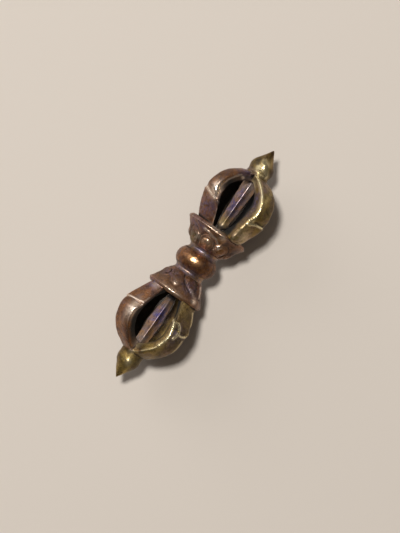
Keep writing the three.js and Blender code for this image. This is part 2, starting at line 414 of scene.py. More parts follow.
MARKS: dict[str, tuple[Ridge | Dab, ...]] = {
    "upper_front_left_prong": (
        Ridge(((14.8, 7.4), (14.4, 6.5), (14.0, 5.6), (13.7, 4.6)), 0.18, 0.3),
        Ridge(((15.0, 6.6), (14.6, 5.5), (14.3, 4.4)), -0.16, 0.35),
        Ridge(((16.2, 5.0), (16.9, 4.9), (18.6, 4.5), (20.0, 3.7), (21.1, 2.8)), 0.1, 0.2),
        Dab((15.2, 4.9), 0.42, 1.4, 1.2),
        Dab((15.2, 3.8), -0.3, 0.9),
        Dab((22.3, 0.5), -0.4, 0.6),
        Dab((21.2, 1.7), -0.24, 1.1),
    ),
    "upper_front_right_prong": (
        Ridge(((12.9, -4.2), (13.4, -5.0), (13.9, -6.0), (14.1, -7.4)), 0.16, 0.22),
        Ridge(((14.0, -5.4), (14.5, -6.3), (14.8, -7.4)), -0.14, 0.4),
        Ridge(
            ((22.0, -1.1), (21.1, -2.2), (20.0, -3.3), (18.5, -4.1), (17.0, -4.7), (15.4, -4.9)), 0.13, 0.34
        ),
        Ridge(((15.4, -4.9), (14.2, -4.8), (13.1, -4.4), (12.0, -4.0), (10.5, -3.8), (8.4, -3.5)), 0.07, 0.3),
        Ridge(((13.1, -8.2), (12.2, -7.9), (10.9, -7.2), (9.8, -6.3), (8.9, -5.2)), 0.05, 0.16),
        Dab((17.0, -3.7), -0.15, 1.3, 1.5),
        Dab((17.5, -6.3), -0.16, 1.0, 1.9),
    ),
    "lower_front_left_prong": (
        Ridge(((-14.2, 8.2), (-13.9, 7.2), (-13.7, 6.1), (-13.5, 5.0), (-13.3, 4.3)), 0.15, 0.2),
        Ridge(((-13.3, 4.3), (-12.6, 4.05), (-11.9, 3.85)), 0.06, 0.16),
        Ridge(((-14.8, 7.8), (-14.5, 6.1), (-14.2, 4.8)), -0.12, 0.4),
    ),
    "lower_front_right_prong": (
        Ridge(
            ((-13.0, -3.9), (-13.0, -4.6), (-13.5, -5.2), (-14.5, -5.7), (-15.2, -5.7), (-16.3, -5.4)),
            0.18,
            0.24,
        ),
        Ridge(((-8.9, -2.7), (-10.8, -3.1), (-12.3, -3.5)), -0.22, 0.5),
        Dab((-14.8, -4.8), -0.32, 0.6, 2.0),
        Ridge(((-15.0, -5.8), (-15.0, -6.7), (-14.4, -7.6)), 0.14, 0.22),
        Ridge(((-15.9, -6.3), (-15.5, -7.2)), -0.16, 0.4),
        Ridge(
            ((-12.9, -3.2), (-13.5, -3.7), (-14.8, -4.2), (-16.1, -4.4), (-17.6, -4.2), (-19.2, -3.6)),
            0.2,
            0.36,
        ),
        Ridge(((-19.2, -3.6), (-20.0, -3.3), (-20.8, -2.7), (-21.4, -2.0), (-22.2, -1.3)), 0.07, 0.3),
        Ridge(((-9.4, -5.7), (-10.4, -6.3), (-11.8, -7.0), (-12.8, -7.5), (-13.7, -7.7)), 0.08, 0.18),
        Ridge(((-15.7, -7.3), (-17.9, -7.3), (-19.6, -6.9), (-20.9, -6.1), (-22.2, -5.0)), 0.06, 0.16),
        Dab((-11.3, -5.4), -0.2, 0.9, 1.7),
        Dab((-17.8, -5.8), -0.2, 0.8, 1.8),
    ),
    "upper_bud": (
        Ridge(((26.4, 0.2), (25.2, -0.6), (24.0, -1.45)), 0.15, 0.65),
        Ridge(((26.0, 1.4), (24.8, 0.9)), -0.06, 0.5),
    ),
    "lower_bud": (
        Dab((-26.0, -0.4), 0.16, 0.7),
        Dab((-23.6, 0.7), 0.16, 0.5),
        Dab((-24.6, 1.0), -0.12, 0.7),
    ),
    "upper_lotus_collar": (
        Ridge(((7.1, 2.6), (6.9, 1.5), (6.6, 0.5), (6.5, -0.6), (5.9, -1.5)), 0.12, 0.26),
        Dab((5.2, -2.1), 0.18, 0.8),
        Dab((6.6, -3.3), -0.3, 1.0),
        Dab((6.2, 4.6), -0.16, 1.3),
        Dab((5.0, 3.3), 0.07, 0.9),
        Dab((7.7, -1.6), 0.12, 0.9),
        Ridge(((5.6, -0.9), (4.6, -1.5)), -0.2, 0.24),
    ),
    "lower_lotus_collar": (
        Ridge(((-3.5, 0.3), (-4.4, -0.1), (-5.4, -1.3), (-6.0, -2.6)), -0.26, 0.28),
        Ridge(((-3.3, -2.4), (-4.6, -3.3), (-6.1, -3.8)), -0.24, 0.26),
        Ridge(((-3.9, -3.9), (-5.0, -4.6), (-6.1, -5.0)), 0.1, 0.18),
        Ridge(((-5.0, -2.0), (-5.8, -2.9), (-6.6, -4.3)), 0.07, 0.3),
        Dab((-6.1, 1.1), 0.14, 0.5),
        Dab((-5.0, 3.6), -0.14, 1.4),
        Dab((-7.3, -4.4), 0.16, 0.6),
    ),
}


@dataclass(frozen=True)
class Patch:
    """An oval patch on the camera's side, in millimetres along X and Y; some lists lay patina, others painted
    highlights and painted shade.
    """

    x: float
    y: float
    x_reach: float
    y_reach: float
    strength: float

    def over(self, points: np.ndarray) -> np.ndarray:
        """How strong the patch is at each point."""
        x, y = (points[:, 0] - self.x) / self.x_reach, (points[:, 1] - self.y) / self.y_reach
        return self.strength * np.exp(-(x * x + y * y))

    @classmethod
    def total(cls, rows: tuple[Row, ...], surface: Surface, margin: float = 0.2) -> np.ndarray:
        """Lays patches over the camera's side of a surface.

        Args:
            rows: the patches, one row each.
            surface: where they lie.
            margin: how far round the side they still reach.

        Returns:
            The strongest patch at each vertex.
        """
        return np.max([cls(*row).over(surface.points) for row in rows], axis=0) * surface.front(margin)


# Each row is one patch: its middle and its reach along X and Y, then its strength.
PATCHES: dict[str, tuple[Row, ...]] = {
    "violet": (
        (15.5, 0.1, 3.4, 1.5, 0.8), (-14.0, 0.0, 1.9, 1.8, 1.0), (2.8, -0.3, 0.9, 2.8, 0.6),
        (-2.7, 1.2, 0.8, 2.6, 0.6), (7.2, 4.4, 1.4, 2.2, 0.7), (22.4, 2.4, 1.4, 1.8, 0.8),
        (17.5, -3.0, 3.5, 1.2, 1.0), (10.3, -4.9, 1.6, 1.5, 0.3), (11.5, 4.8, 2.4, 1.8, 0.7),
        (-5.6, -2.2, 1.6, 2.2, 0.7), (-5.2, 3.2, 1.3, 1.6, 0.6), (-15.5, -5.4, 2.5, 1.3, 0.6),
        (-9.0, 5.0, 1.3, 1.6, 0.8),
    ),
    # Painted highlights, partly rubbed bare metal: bright bare colour where light falls on the amulet.
    "polish_highlight": (
        (-16.0, 5.5, 2.3, 0.95, 0.9), (15.8, 5.4, 1.5, 1.1, 1.0), (25.0, -0.45, 1.7, 0.7, 1.0),
        (-26.2, -0.4, 0.9, 0.6, 0.7), (15.8, -4.8, 3.2, 0.4, 0.7), (20.8, 2.2, 0.35, 0.35, 1.0),
        (-23.4, 0.5, 0.4, 0.4, 1.0), (8.3, 0.7, 0.5, 2.0, 1.0), (-7.9, 0.7, 0.45, 2.4, 0.8),
        (4.9, 0.5, 0.9, 0.9, 0.5), (0.2, 0.45, 0.5, 0.8, 0.25), (22.2, -0.8, 0.35, 0.4, 0.8),
        (24.6, 0.5, 0.8, 0.7, 0.7), (10.2, -5.0, 1.5, 1.5, 0.35), (20.4, -0.2, 1.5, 0.9, 0.6),
        (-21.3, 0.3, 1.8, 0.9, 0.45), (-9.0, 4.3, 0.7, 0.9, 0.4), (2.6, 0.0, 0.4, 1.5, 0.3),
        (9.9, 0.2, 0.9, 0.8, 0.35), (-20.0, 0.2, 1.0, 0.8, 0.35), (-2.6, 0.8, 0.4, 1.5, 0.15),
    ),
    "blue": (
        (-14.2, -0.3, 1.9, 1.0, 1.0), (15.0, 1.0, 1.6, 0.7, 0.8), (18.4, 0.6, 0.9, 0.5, 0.5),
        (13.2, -0.4, 1.2, 0.5, 0.5), (2.7, 0.0, 0.5, 1.8, 0.35), (-9.0, 4.8, 0.8, 1.0, 0.4),
        (-14.6, -4.9, 1.2, 0.5, 0.8),
    ),
    "moss": (
        (4.2, 3.6, 1.4, 1.3, 1.0), (6.0, 4.9, 1.0, 1.0, 0.4), (17.2, -6.6, 2.4, 1.2, 0.6),
        (-25.0, -1.6, 1.6, 1.2, 0.6), (-27.2, 0.0, 2.6, 2.6, 0.5), (25.6, 1.9, 1.8, 1.0, 0.5),
        (13.0, 4.2, 0.8, 0.8, 0.4),
    ),
    # Darkening patches: partly grime, partly painted shade laid to dim reflections and highlights.
    "soil_and_shade": (
        (-10.8, -3.1, 2.4, 0.9, 1.0), (-11.0, 3.4, 2.2, 0.8, 0.8), (-14.8, -4.8, 1.3, 0.5, 1.0),
        (11.2, 2.7, 2.2, 0.7, 0.5), (-24.8, -2.2, 2.0, 0.9, 0.7), (24.6, -2.4, 2.2, 0.9, 0.8),
        (25.5, 1.5, 1.7, 0.8, 1.0), (23.9, 0.8, 0.5, 1.3, 0.8), (-6.0, 4.6, 2.0, 1.8, 0.9),
        (-5.9, -4.1, 1.6, 1.9, 1.0), (6.4, -5.2, 1.8, 1.7, 0.8), (20.3, -4.6, 2.2, 1.4, 0.9),
        (-20.6, -4.8, 2.2, 1.3, 0.8), (-15.8, -6.2, 4.2, 1.5, 1.0), (-10.6, -5.3, 2.4, 1.8, 1.0),
        (-19.5, -5.0, 2.4, 1.6, 0.8), (9.6, -3.3, 0.8, 0.5, 0.8), (-24.6, 0.1, 0.7, 1.0, 0.7),
        (-25.6, -1.9, 2.2, 0.7, 0.7), (18.1, 6.3, 1.9, 1.4, 0.7), (20.4, 4.4, 1.6, 1.4, 0.6),
        (-6.0, 0.6, 2.3, 5.0, 1.0), (6.4, 4.0, 1.6, 2.4, 0.5), (0.0, -4.2, 1.8, 1.0, 0.7),
    ),
    "copper": (
        (10.4, -4.9, 2.0, 2.0, 1.0), (-10.2, -4.9, 2.2, 2.2, 0.3), (-19.6, -5.6, 2.6, 1.6, 0.5),
        (21.6, -3.2, 1.6, 1.8, 0.5),
    ),
    # Golden patches: partly the alloy's own tone, partly painted light on lit spots.
    "gilt_and_light": (
        (0.1, 0.5, 1.1, 1.7, 0.9), (10.4, 0.2, 1.4, 1.5, 1.0), (8.2, 0.8, 0.7, 2.2, 0.7),
        (18.4, -4.7, 3.8, 0.7, 1.0), (11.6, -4.4, 2.0, 1.0, 0.5), (-18.0, -3.9, 3.2, 0.9, 0.8),
        (-7.9, 0.6, 0.7, 2.8, 0.6), (4.9, 0.5, 0.9, 1.0, 0.9), (4.9, -2.2, 0.9, 1.2, 0.7),
        (6.9, -1.5, 0.7, 0.9, 0.7), (-6.6, 3.2, 1.4, 1.8, 0.4), (-6.9, -1.2, 0.8, 1.6, 0.35),
        (-25.4, -0.5, 1.6, 1.1, 0.35), (-28.0, 0.0, 1.7, 1.2, 0.9), (-20.6, -2.4, 1.2, 0.9, 0.8),
        (25.0, -0.3, 2.0, 1.0, 0.5), (-10.0, -4.0, 1.8, 1.8, 0.5),
    ),
}


class Grain(Enum):
    """The noises that a finish is mixed with: scale per metre, octaves and how rough they are."""

    BLOTCH = (560.0, 4.0, 0.65)
    SHADE = (1000.0, 5.0, 0.72)
    BLOOM = (780.0, 4.0, 0.6)
    SPECK = (2600.0, 4.0, 0.7)
    PATCHY = (1300.0, 4.0, 0.65)
    EDGE = (1500.0, 3.0, 0.6)
    GLINT = (3600.0, 3.0, 0.6)
    BUMP = (2300.0, 6.0, 0.62)


class Ramp(Enum):
    """How a noise or a mesh value is sharpened: low and high, and what these become."""

    BLOTCH = (0.42, 0.58, 0.0, 1.0)
    BLOOM = (0.50, 0.64, 0.0, 0.75)
    PATCHY = (0.38, 0.58, 0.0, 1.0)
    SHADE = (0.30, 0.52, 0.8, 0.0)
    OCCLUSION_SHADE = (0.22, 0.60, 0.0, 1.0)
    RUBBED = (0.15, 0.95, 0.0, 1.0)
    BROKEN_EDGE = (0.36, 0.60, 0.2, 1.0)
    GLINT = (0.60, 0.72, 0.0, 0.35)
    SPECKED_EDGE = (0.36, 0.56, 0.35, 1.0)
    SPECKED_GILT_AND_LIGHT = (0.34, 0.56, 0.2, 1.0)
    SPECKED_POLISH_HIGHLIGHT = (0.34, 0.56, 0.65, 1.0)


@dataclass(frozen=True)
class Finish:
    """A handled patina over a cast copper alloy; the colours are linear, the bump is in metres.

    Each roughness runs between two values as the finest noise crosses the range of rough_speck, that of
    moss from thin to thick. Metal goes from clean to darkened, where grime and painted shade cover it.
    """

    slot: str
    # The darkest colour stands for grime and for painted shade, the golden one partly for painted light, and
    # the bare one also for painted highlights.
    dirt_and_shade: Colour
    dark: Colour
    body: Colour
    cast: Colour
    bloom: Colour
    sheen: Colour
    gilt_and_light: Colour
    worn: Colour
    temper: Colour = (0.045, 0.052, 0.250)
    moss: Colour = (0.165, 0.145, 0.050)
    copper: Colour = (0.480, 0.280, 0.180)
    rough_body: Point = (0.29, 0.49)
    rough_worn: Point = (0.20, 0.30)
    rough_dirt: Point = (0.70, 0.90)
    rough_moss: Point = (0.38, 0.55)
    rough_speck: Point = (0.3, 0.7)
    metal: Point = (0.92, 0.20)
    bump_strength: float = 0.5
    bump_distance: float = 0.00012

    def material(self) -> bpy.types.Material:
        """Makes the material, or finds it if it is already made.

        Returns:
            The node material.
        """
        known = bpy.data.materials.get("finish_" + self.slot)
        if known:
            return known
        made = bpy.data.materials.new("finish_" + self.slot)
        made.use_nodes = True
        made.node_tree.nodes.clear()
        FinishNodes(made.node_tree, self).wire()
        LOG.info("finish %s made", self.slot)
        return made


@dataclass(frozen=True)
class FinishNodes:
    """Wires one finish's shader in an empty node tree."""

    tree: bpy.types.NodeTree
    finish: Finish

    def node(self, kind: str, **values: object) -> bpy.types.Node:
        """Adds a node.

        Args:
            kind: its Blender type.
            values: properties to set on it.

        Returns:
            The node.
        """
        made = self.tree.nodes.new(kind)
        for key, value in values.items():
            setattr(made, key, value)
        return made

    def link(self, a: Socket, b: Socket) -> None:
        """Joins an output to an input."""
        self.tree.links.new(a, b)

    def attribute(self, name: str) -> Socket:
        """Reads one of the mesh's own values by its name."""
        return self.node("ShaderNodeAttribute", attribute_name=name).outputs["Fac"]

    def grain(self, grain: Grain) -> Socket:
        """Reads a noise over the object's own coordinates.

        Args:
            grain: which noise.

        Returns:
            The socket that carries it, 0 to 1.
        """
        made = self.node("ShaderNodeTexNoise")
        for name, value in zip(("Scale", "Detail", "Roughness"), grain.value):
            made.inputs[name].default_value = value
        self.link(self.node("ShaderNodeTexCoord").outputs["Object"], made.inputs["Vector"])
        return made.outputs["Fac"]

    def stretch(self, value: Socket, low: float, high: float, first: float, last: float) -> Socket:
        """Maps one range to another, holding what falls outside it.

        Args:
            value: what comes in.
            low: what becomes first.
            high: what becomes last.
            first: what low becomes.
            last: what high becomes.

        Returns:
            The mapped value.
        """
        made = self.node("ShaderNodeMapRange")
        rows = {"From Min": low, "From Max": high, "To Min": first, "To Max": last}
        for name, number in rows.items():
            made.inputs[name].default_value = number
        self.link(value, made.inputs["Value"])
        return made.outputs["Result"]

    def ramped(self, value: Socket, ramp: Ramp) -> Socket:
        """Sharpens a value by one of the named ramps."""
        return self.stretch(value, *ramp.value)

    def maths(self, operation: str, a: Socket, b: Socket) -> Socket:
        """Works on two values.

        Args:
            operation: what is done with them.
            a: one value.
            b: the other.

        Returns:
            What comes out, held to 0 to 1.
        """
        made = self.node("ShaderNodeMath", operation=operation, use_clamp=True)
        self.link(a, made.inputs[0])
        self.link(b, made.inputs[1])
        return made.outputs[0]

    def times(self, a: Socket, b: Socket) -> Socket:
        """Multiplies two values."""
        return self.maths("MULTIPLY", a, b)

    def more(self, a: Socket, b: Socket) -> Socket:
        """Takes the larger of two values."""
        return self.maths("MAXIMUM", a, b)

    def kept(self, a: Socket, b: Socket) -> Socket:
        """Takes one value away from another."""
        return self.maths("SUBTRACT", a, b)

    def between(self, amount: Socket, a: Socket, b: Socket) -> Socket:
        """Goes from one value to another.

        Args:
            amount: how far.
            a: the value at 0.
            b: the value at 1.

        Returns:
            The value between them.
        """
        made = self.node("ShaderNodeMix", data_type="FLOAT")
        for name, socket in (("Factor", amount), ("A", a), ("B", b)):
            self.link(socket, made.inputs[name])
        return made.outputs["Result"]

    def over(self, amount: Socket, under: Socket | Colour, colour: Colour) -> Socket:
        """Lays one colour over another.

        Args:
            amount: how much of it.
            under: the colour beneath.
            colour: the colour on top.

        Returns:
            The mixed colour.
        """
        made = self.node("ShaderNodeMix", data_type="RGBA")
        self.link(amount, made.inputs["Factor"])
        if isinstance(under, tuple):
            made.inputs["A"].default_value = (*under, 1.0)
        else:
            self.link(under, made.inputs["A"])
        made.inputs["B"].default_value = (*colour, 1.0)
        return made.outputs["Result"]

    def rubbed(self, speck: Socket, polish_highlight: Socket) -> Socket:
        """Where the metal is bare or painted bright: the worn edges, a few painted glints and the polished
        patches, which are partly painted highlights.

        Args:
            speck: the finest noise, which breaks the edges up.
            polish_highlight: the polished patches.

        Returns:
            How bare the metal is.
        """
        edge = self.ramped(self.attribute("rubbed"), Ramp.RUBBED)
        edge = self.times(edge, self.ramped(self.grain(Grain.EDGE), Ramp.BROKEN_EDGE))
        glint = self.ramped(self.grain(Grain.GLINT), Ramp.GLINT)
        edge = self.times(self.more(edge, glint), self.ramped(speck, Ramp.SPECKED_EDGE))
        return self.more(edge, polish_highlight)

    def colours(self, gilt_and_light: Socket, rubbed: Socket, black: Socket) -> Socket:
        """Lays the finish's colours over one another, from the body to the darkest layer, which holds grime
        and painted shade.

        Args:
            gilt_and_light: where the alloy shows golden, partly painted light on lit spots.
            rubbed: where the metal is bare, and where highlights and glints are painted.
            black: where grime and painted shade darken it.

        Returns:
            The colour.
        """
        f = self.finish
        shade = self.ramped(self.grain(Grain.SHADE), Ramp.SHADE)
        patchy = self.ramped(self.grain(Grain.PATCHY), Ramp.PATCHY)
        colour = self.over(self.ramped(self.grain(Grain.BLOTCH), Ramp.BLOTCH), f.body, f.cast)
        colour = self.over(self.ramped(self.grain(Grain.BLOOM), Ramp.BLOOM), colour, f.bloom)
        tints = {"moss": f.moss, "copper": f.copper, "violet": f.sheen, "blue": f.temper}
        for name, tint in tints.items():
            colour = self.over(self.times(self.attribute(name), patchy), colour, tint)
        # Then come the golden layer, partly painted light, random darker mottling, the bare colour with
        # painted highlights, and last the darkest colour for grime and painted shade.
        layers = ((gilt_and_light, f.gilt_and_light), (self.kept(shade, rubbed), f.dark), (rubbed, f.worn), (black, f.dirt_and_shade))
        for amount, layer in layers:
            colour = self.over(amount, colour, layer)
        return colour

    def roughness(self, speck: Socket, smooth: Socket, black: Socket) -> Socket:
        """Works out how rough the surface is.

        Args:
            speck: the finest noise, which varies it.
            smooth: where the metal is rubbed or gilt.
            black: where grime and painted shade darken it.

        Returns:
            The roughness.
        """
        f = self.finish
        ranges = (f.rough_body, f.rough_worn, f.rough_dirt)
        body, worn, dirt_and_shade = [self.stretch(speck, *f.rough_speck, *pair) for pair in ranges]
        moss = self.attribute("moss")
        dull = self.between(moss, body, self.stretch(moss, 0.0, 1.0, *f.rough_moss))
        return self.between(black, self.between(smooth, dull, worn), dirt_and_shade)

    def wire(self) -> None:
        """Builds the patina: body and cast colours, a bloom, worn edges with painted highlights, grime and
        painted shade in the hollows and inside the cage, bump.
        """
        f = self.finish
        speck = self.grain(Grain.SPECK)
        # Golden tone, partly painted light.
        gilt_and_light = self.times(self.attribute("gilt_and_light"), self.ramped(speck, Ramp.SPECKED_GILT_AND_LIGHT))
        # Painted highlights, partly polished bare metal.
        polish_highlight = self.times(self.attribute("polish_highlight"), self.ramped(speck, Ramp.SPECKED_POLISH_HIGHLIGHT))
        rubbed = self.rubbed(speck, polish_highlight)
        # Occlusion and the blackened parts of the cage darken towards black as grime and painted shade; the
        # painted highlights lift it.
        occlusion_shade = self.ramped(self.attribute("occlusion_shade"), Ramp.OCCLUSION_SHADE)
        black = self.kept(self.more(occlusion_shade, self.attribute("soot_and_shade")), polish_highlight)
        bump = self.node("ShaderNodeBump")
        bump.inputs["Strength"].default_value = f.bump_strength
        bump.inputs["Distance"].default_value = f.bump_distance
        self.link(self.grain(Grain.BUMP), bump.inputs["Height"])
        shader = self.node("ShaderNodeBsdfPrincipled")
        metal = self.stretch(black, 0.0, 1.0, *f.metal)
        self.link(metal, shader.inputs["Metallic"])
        self.link(self.colours(gilt_and_light, rubbed, black), shader.inputs["Base Color"])
        self.link(self.roughness(speck, self.more(rubbed, gilt_and_light), black), shader.inputs["Roughness"])
        self.link(bump.outputs["Normal"], shader.inputs["Normal"])
        out = self.node("ShaderNodeOutputMaterial")
        self.link(shader.outputs["BSDF"], out.inputs["Surface"])


COPPER_BROWN = Finish(
    slot="copper_brown",
    dirt_and_shade=(0.008, 0.006, 0.004),
    dark=(0.048, 0.024, 0.014),
    body=(0.186, 0.091, 0.054),
    cast=(0.315, 0.140, 0.054),
    bloom=(0.180, 0.106, 0.094),
    sheen=(0.220, 0.170, 0.300),
    gilt_and_light=(0.700, 0.350, 0.115),
    worn=(1.000, 0.845, 0.700),
)
OLIVE_BRASS = Finish(
    slot="olive_brass",
    dirt_and_shade=(0.005, 0.004, 0.003),
    dark=(0.036, 0.021, 0.009),
    body=(0.155, 0.093, 0.033),
    cast=(0.280, 0.180, 0.048),
    bloom=(0.130, 0.078, 0.056),
    sheen=(0.200, 0.155, 0.260),
    gilt_and_light=(0.740, 0.530, 0.160),
    worn=(1.000, 0.880, 0.540),
)
VIOLET_BRONZE = Finish(
    slot="violet_bronze",
    dirt_and_shade=(0.008, 0.006, 0.006),
    dark=(0.065, 0.042, 0.034),
    body=(0.245, 0.175, 0.135),
    cast=(0.400, 0.225, 0.100),
    bloom=(0.220, 0.170, 0.200),
    sheen=(0.190, 0.165, 0.330),
    gilt_and_light=(0.600, 0.410, 0.090),
    worn=(0.760, 0.680, 0.680),
)


@dataclass
class Piece:
    """One visible piece: the CAD node it stands for, its surface in millimetres, its finish and wear."""

    node: str
    surface: Surface
    finish: Finish
    work: HandWork
    also: tuple[str, ...] = ()
    wear: dict[str, np.ndarray] = field(default_factory=dict)

    def __post_init__(self) -> None:
        """Adds the marks of its making to the clean surface."""
        self.work.shape(self.surface)
        if self.node in MARKS:
            Chisel(MARKS[self.node]).cut(self.surface)

    def build(self, table: float) -> None:
        """Makes the Blender object in metres and ties it to the frame.

        Args:
            table: the height of the table, in millimetres.
        """
        name = self.node + "_cast"
        self.work.texture(self.surface)
        self.surface.rest_on(table)
        mesh = bpy.data.meshes.new(name)
        mesh.from_pydata((self.surface.points * MM).tolist(), [], self.surface.faces)
        mesh.polygons.foreach_set("use_smooth", [True] * len(mesh.polygons))
        for key, values in self.wear.items():
            layer = mesh.attributes.new(key, "FLOAT", "POINT")
            layer.data.foreach_set("value", values.astype(np.float32))
        mesh.materials.append(self.finish.material())
        mesh.update()
        item = added(name, mesh)
        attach(item, "root")
        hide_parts(self.node, *self.also)
        LOG.info("%s: %d points, also stands for %s", name, len(self.surface.points), self.also)


def turned(
    profile: np.ndarray, steps: int, relief: Callable[[np.ndarray, np.ndarray], np.ndarray] | None = None
) -> np.ndarray:
    """Builds rings round X from places and radii.

    Args:
        profile: rows of x and radius, in order.
        steps: points a ring.
        relief: a height over x and angle, added to the radius.

    Returns:
        The rings.
    """
    angles = np.linspace(0, FULL_TURN, steps, endpoint=False)
    x, angle = np.meshgrid(profile[:, 0], angles, indexing="ij")
    radius = np.repeat(profile[:, 1:2], steps, axis=1)
    if relief is not None:
        radius = radius + relief(x, angle)
    return np.stack([x, radius * np.cos(angle), radius * np.sin(angle)], axis=2)


@dataclass(frozen=True)
class Waist:
    """The hub bead and the two necks beside it; sizes in millimetres."""

    hub_half_length: float = 1.9
    hub_radius: float = 4.8
    hub_end_radius: float = 3.95
    hub_roundness: float = 2.2
    neck_length: float = 1.4
    neck_waist: float = 3.42
    neck_end: float = 3.7
    neck_hollow: float = 1.5
    neck_overlap: float = 1.04

    @property
    def half_length(self) -> float:
        """Where the necks end and the collars start, from the hub's middle."""
        return self.hub_half_length + self.neck_length

    def build_hub(self) -> Surface:
        """Builds the bead.

        Returns:
            Its surface.
        """
        t = np.linspace(-1, 1, 90)
        radius = blend(self.hub_end_radius, self.hub_radius, 1 - np.abs(t) ** self.hub_roundness)
        return Surface.skinned(turned(np.column_stack([t * self.hub_half_length, radius]), 220))

    def build_neck(self, end: End) -> Surface:
        """Builds one neck.

        Args:
            end: the end it belongs to.

        Returns:
            Its surface.
        """
        t = np.linspace(-self.neck_overlap, self.neck_overlap, 44)
        edge = np.where(t < 0, self.hub_end_radius, self.neck_end)
        radius = blend(self.neck_waist, edge, np.abs(t) ** self.neck_hollow)
        place = self.hub_half_length + (t + 1) / 2 * self.neck_length
        return Surface.skinned(end.faced(turned(np.column_stack([place, radius]), 200)))

    def dress(self) -> list[Piece]:
        """Gives the bead, which also stands for the pin through it, and the necks their finishes.

        Returns:
            The pieces of the waist.
        """
        work = HandWork(1.0, swell=0.14, dents=0.05)
        pieces = [Piece("hub_bead", self.build_hub(), COPPER_BROWN, work, ("hub_pin",))]
        for end in End:
            work = HandWork(2.0 + end.sign, swell=0.06, dents=0.05)
            pieces.append(Piece(f"{end.value}_neck", self.build_neck(end), VIOLET_BRONZE, work))
        return pieces


WAIST = Waist()


@dataclass(frozen=True)
class Collar:
    """One lotus collar with its pellets; sizes in millimetres and degrees.

    Wear has left a share of each pellet's height, listed in the order of their numbers, and a share of
    the petals' depth, which is the carving.
    """

    end: End
    rim: float
    petal_turn: float
    pellet_radius: float
    pellet_height: float
    pellets_left: tuple[float, ...]
    carving: float
    length: float = 5.4
    swelling: float = 0.9
    lip_length: float = 0.85
    lip_drop: float = 0.6
    lip_ridge: float = 0.13
    lip_ridge_width: float = 0.4
    petal_length: float = 3.3
    petal_point: float = 0.42
    petal_width: float = 0.94
    petal_height: float = 0.2
    petal_slope: float = 0.6
    petal_groove: float = 0.13
    petal_groove_width: float = 0.24
    lobe_height: float = 0.14
    lobe_slope: float = 0.7
    pellet_at: float = 1.6
    pellet_groove: float = 0.1
    pellet_groove_gap: float = 0.14
    pellet_groove_width: float = 0.2
    pellet_sunk: float = 0.4
    dish_depth: float = 0.45
    dish_edge: float = 0.75

    @property
    def top(self) -> float:
        """Where the collar ends and its cage starts."""
        return WAIST.half_length + self.length

    @property
    def span(self) -> float:
        """The length of the slope below the lip."""
        return self.length - self.lip_length

    @property
    def spacing(self) -> float:
        """The angle from petal to petal."""
        return FULL_TURN / len(self.pellets_left)

    def radius(self, along: Numbers) -> Numbers:
        """The radius without petals, at a distance from the collar's base."""
        t = np.clip(along / self.span, 0, 1)
        return blend(WAIST.neck_end, self.rim, t**self.swelling)

    def relief(self, x: np.ndarray, angle: np.ndarray) -> np.ndarray:
        """The petals in their grooves, the lobes between them, the ridge at the lip and the pellets' grooves.

        Args:
            x: places along the axis.
            angle: angles round it.

        Returns:
            Heights added to the radius.
        """
        along = x - WAIST.half_length
        spacing = self.spacing
        turn = angle - math.radians(self.petal_turn)
        offset = (turn + spacing / 2) % spacing - spacing / 2
        share = offset / (spacing / 2)
        aside = np.abs(share)
        half = self.radius(along) * spacing / 2
        top = self.petal_length * (1 - self.petal_point * share**2)
        inside = np.minimum(top - along, (self.petal_width - aside) * half)
        petal = self.petal_height * ease(inside / self.petal_slope)
        petal = petal - self.petal_groove * bell(inside, self.petal_groove_width)
        above = np.minimum(along - top, (1.0 - np.abs(aside - 1)) * half)
        lobe = self.lobe_height * ease(above / self.lobe_slope) * ease((aside - 0.12) / 0.4)
        ridge = self.lip_ridge * bell(along - self.span - 0.05, self.lip_ridge_width)
        from_middle = np.hypot(along - self.pellet_at, self.radius(self.pellet_at) * offset)
        gap = from_middle - self.pellet_radius - self.pellet_groove_gap
        groove = -self.pellet_groove * bell(gap, self.pellet_groove_width)
        fade = ease(along / 0.5) * ease((self.length + 0.02 - along) / 0.25)
        return fade * (ridge + self.carving * (petal + lobe + groove))

    def build_body(self) -> Surface:
        """Builds the collar: its carved slope, its lip and the dish in its top.

        Returns:
            Its surface.
        """
        base, mouth = WAIST.half_length, self.rim - self.lip_drop
        along = np.linspace(-0.05, self.span, 96)
        slope = np.column_stack([base + along, self.radius(along)])
        a = np.linspace(0.06, 1, 22) * math.pi / 2
        lip_place = base + self.span + self.lip_length * 0.97 * np.sin(a)
        lip = np.column_stack([lip_place, self.rim - self.lip_drop * (1 - np.cos(a))])
        t = np.linspace(0.04, 0.92, 26)
        dish = np.column_stack([self.top - 0.03 - self.dish_depth * ease(t * 2.2), mouth * (1 - t)])
        return Surface.skinned(self.end.faced(turned(np.vstack([slope, lip, dish]), 360, self.relief)))

    def build_pellet(self, number: int) -> Surface:
        """Builds one pellet on the collar's slope.

        Args:
            number: its place, counted from 1.

        Returns:
            Its surface.
        """
        step = 0.2
        rise = self.radius(self.pellet_at + step) - self.radius(self.pellet_at - step)
        lean = math.atan(rise / (2 * step))
        angle = math.radians(self.petal_turn) + self.spacing * (number - 1)
        spoke = np.array([0.0, math.cos(angle), math.sin(angle)])
        out = spoke * math.cos(lean) + np.array([-math.sin(lean), 0.0, 0.0])
        side = np.array([0.0, -math.sin(angle), math.cos(angle)])
        third = np.cross(out, side)
        at = spoke * self.radius(self.pellet_at) + np.array([WAIST.half_length + self.pellet_at, 0.0, 0.0])
        turns = np.linspace(0, FULL_TURN, 56, endpoint=False)
        q = np.linspace(0, 1.5, 20)
        dome = self.pellet_height * self.pellets_left[number - 1] * np.sin(q)
        height = np.concatenate([[-self.pellet_sunk, -0.15], dome + 0.04])
        across = np.concatenate([[1.0, 1.0], np.cos(q)]) * self.pellet_radius
        circle = np.outer(np.cos(turns), side) + np.outer(np.sin(turns), third)
        rings = at + height[:, None, None] * out + across[:, None, None] * circle[None, :, :]
        return Surface.skinned(self.end.faced(rings))

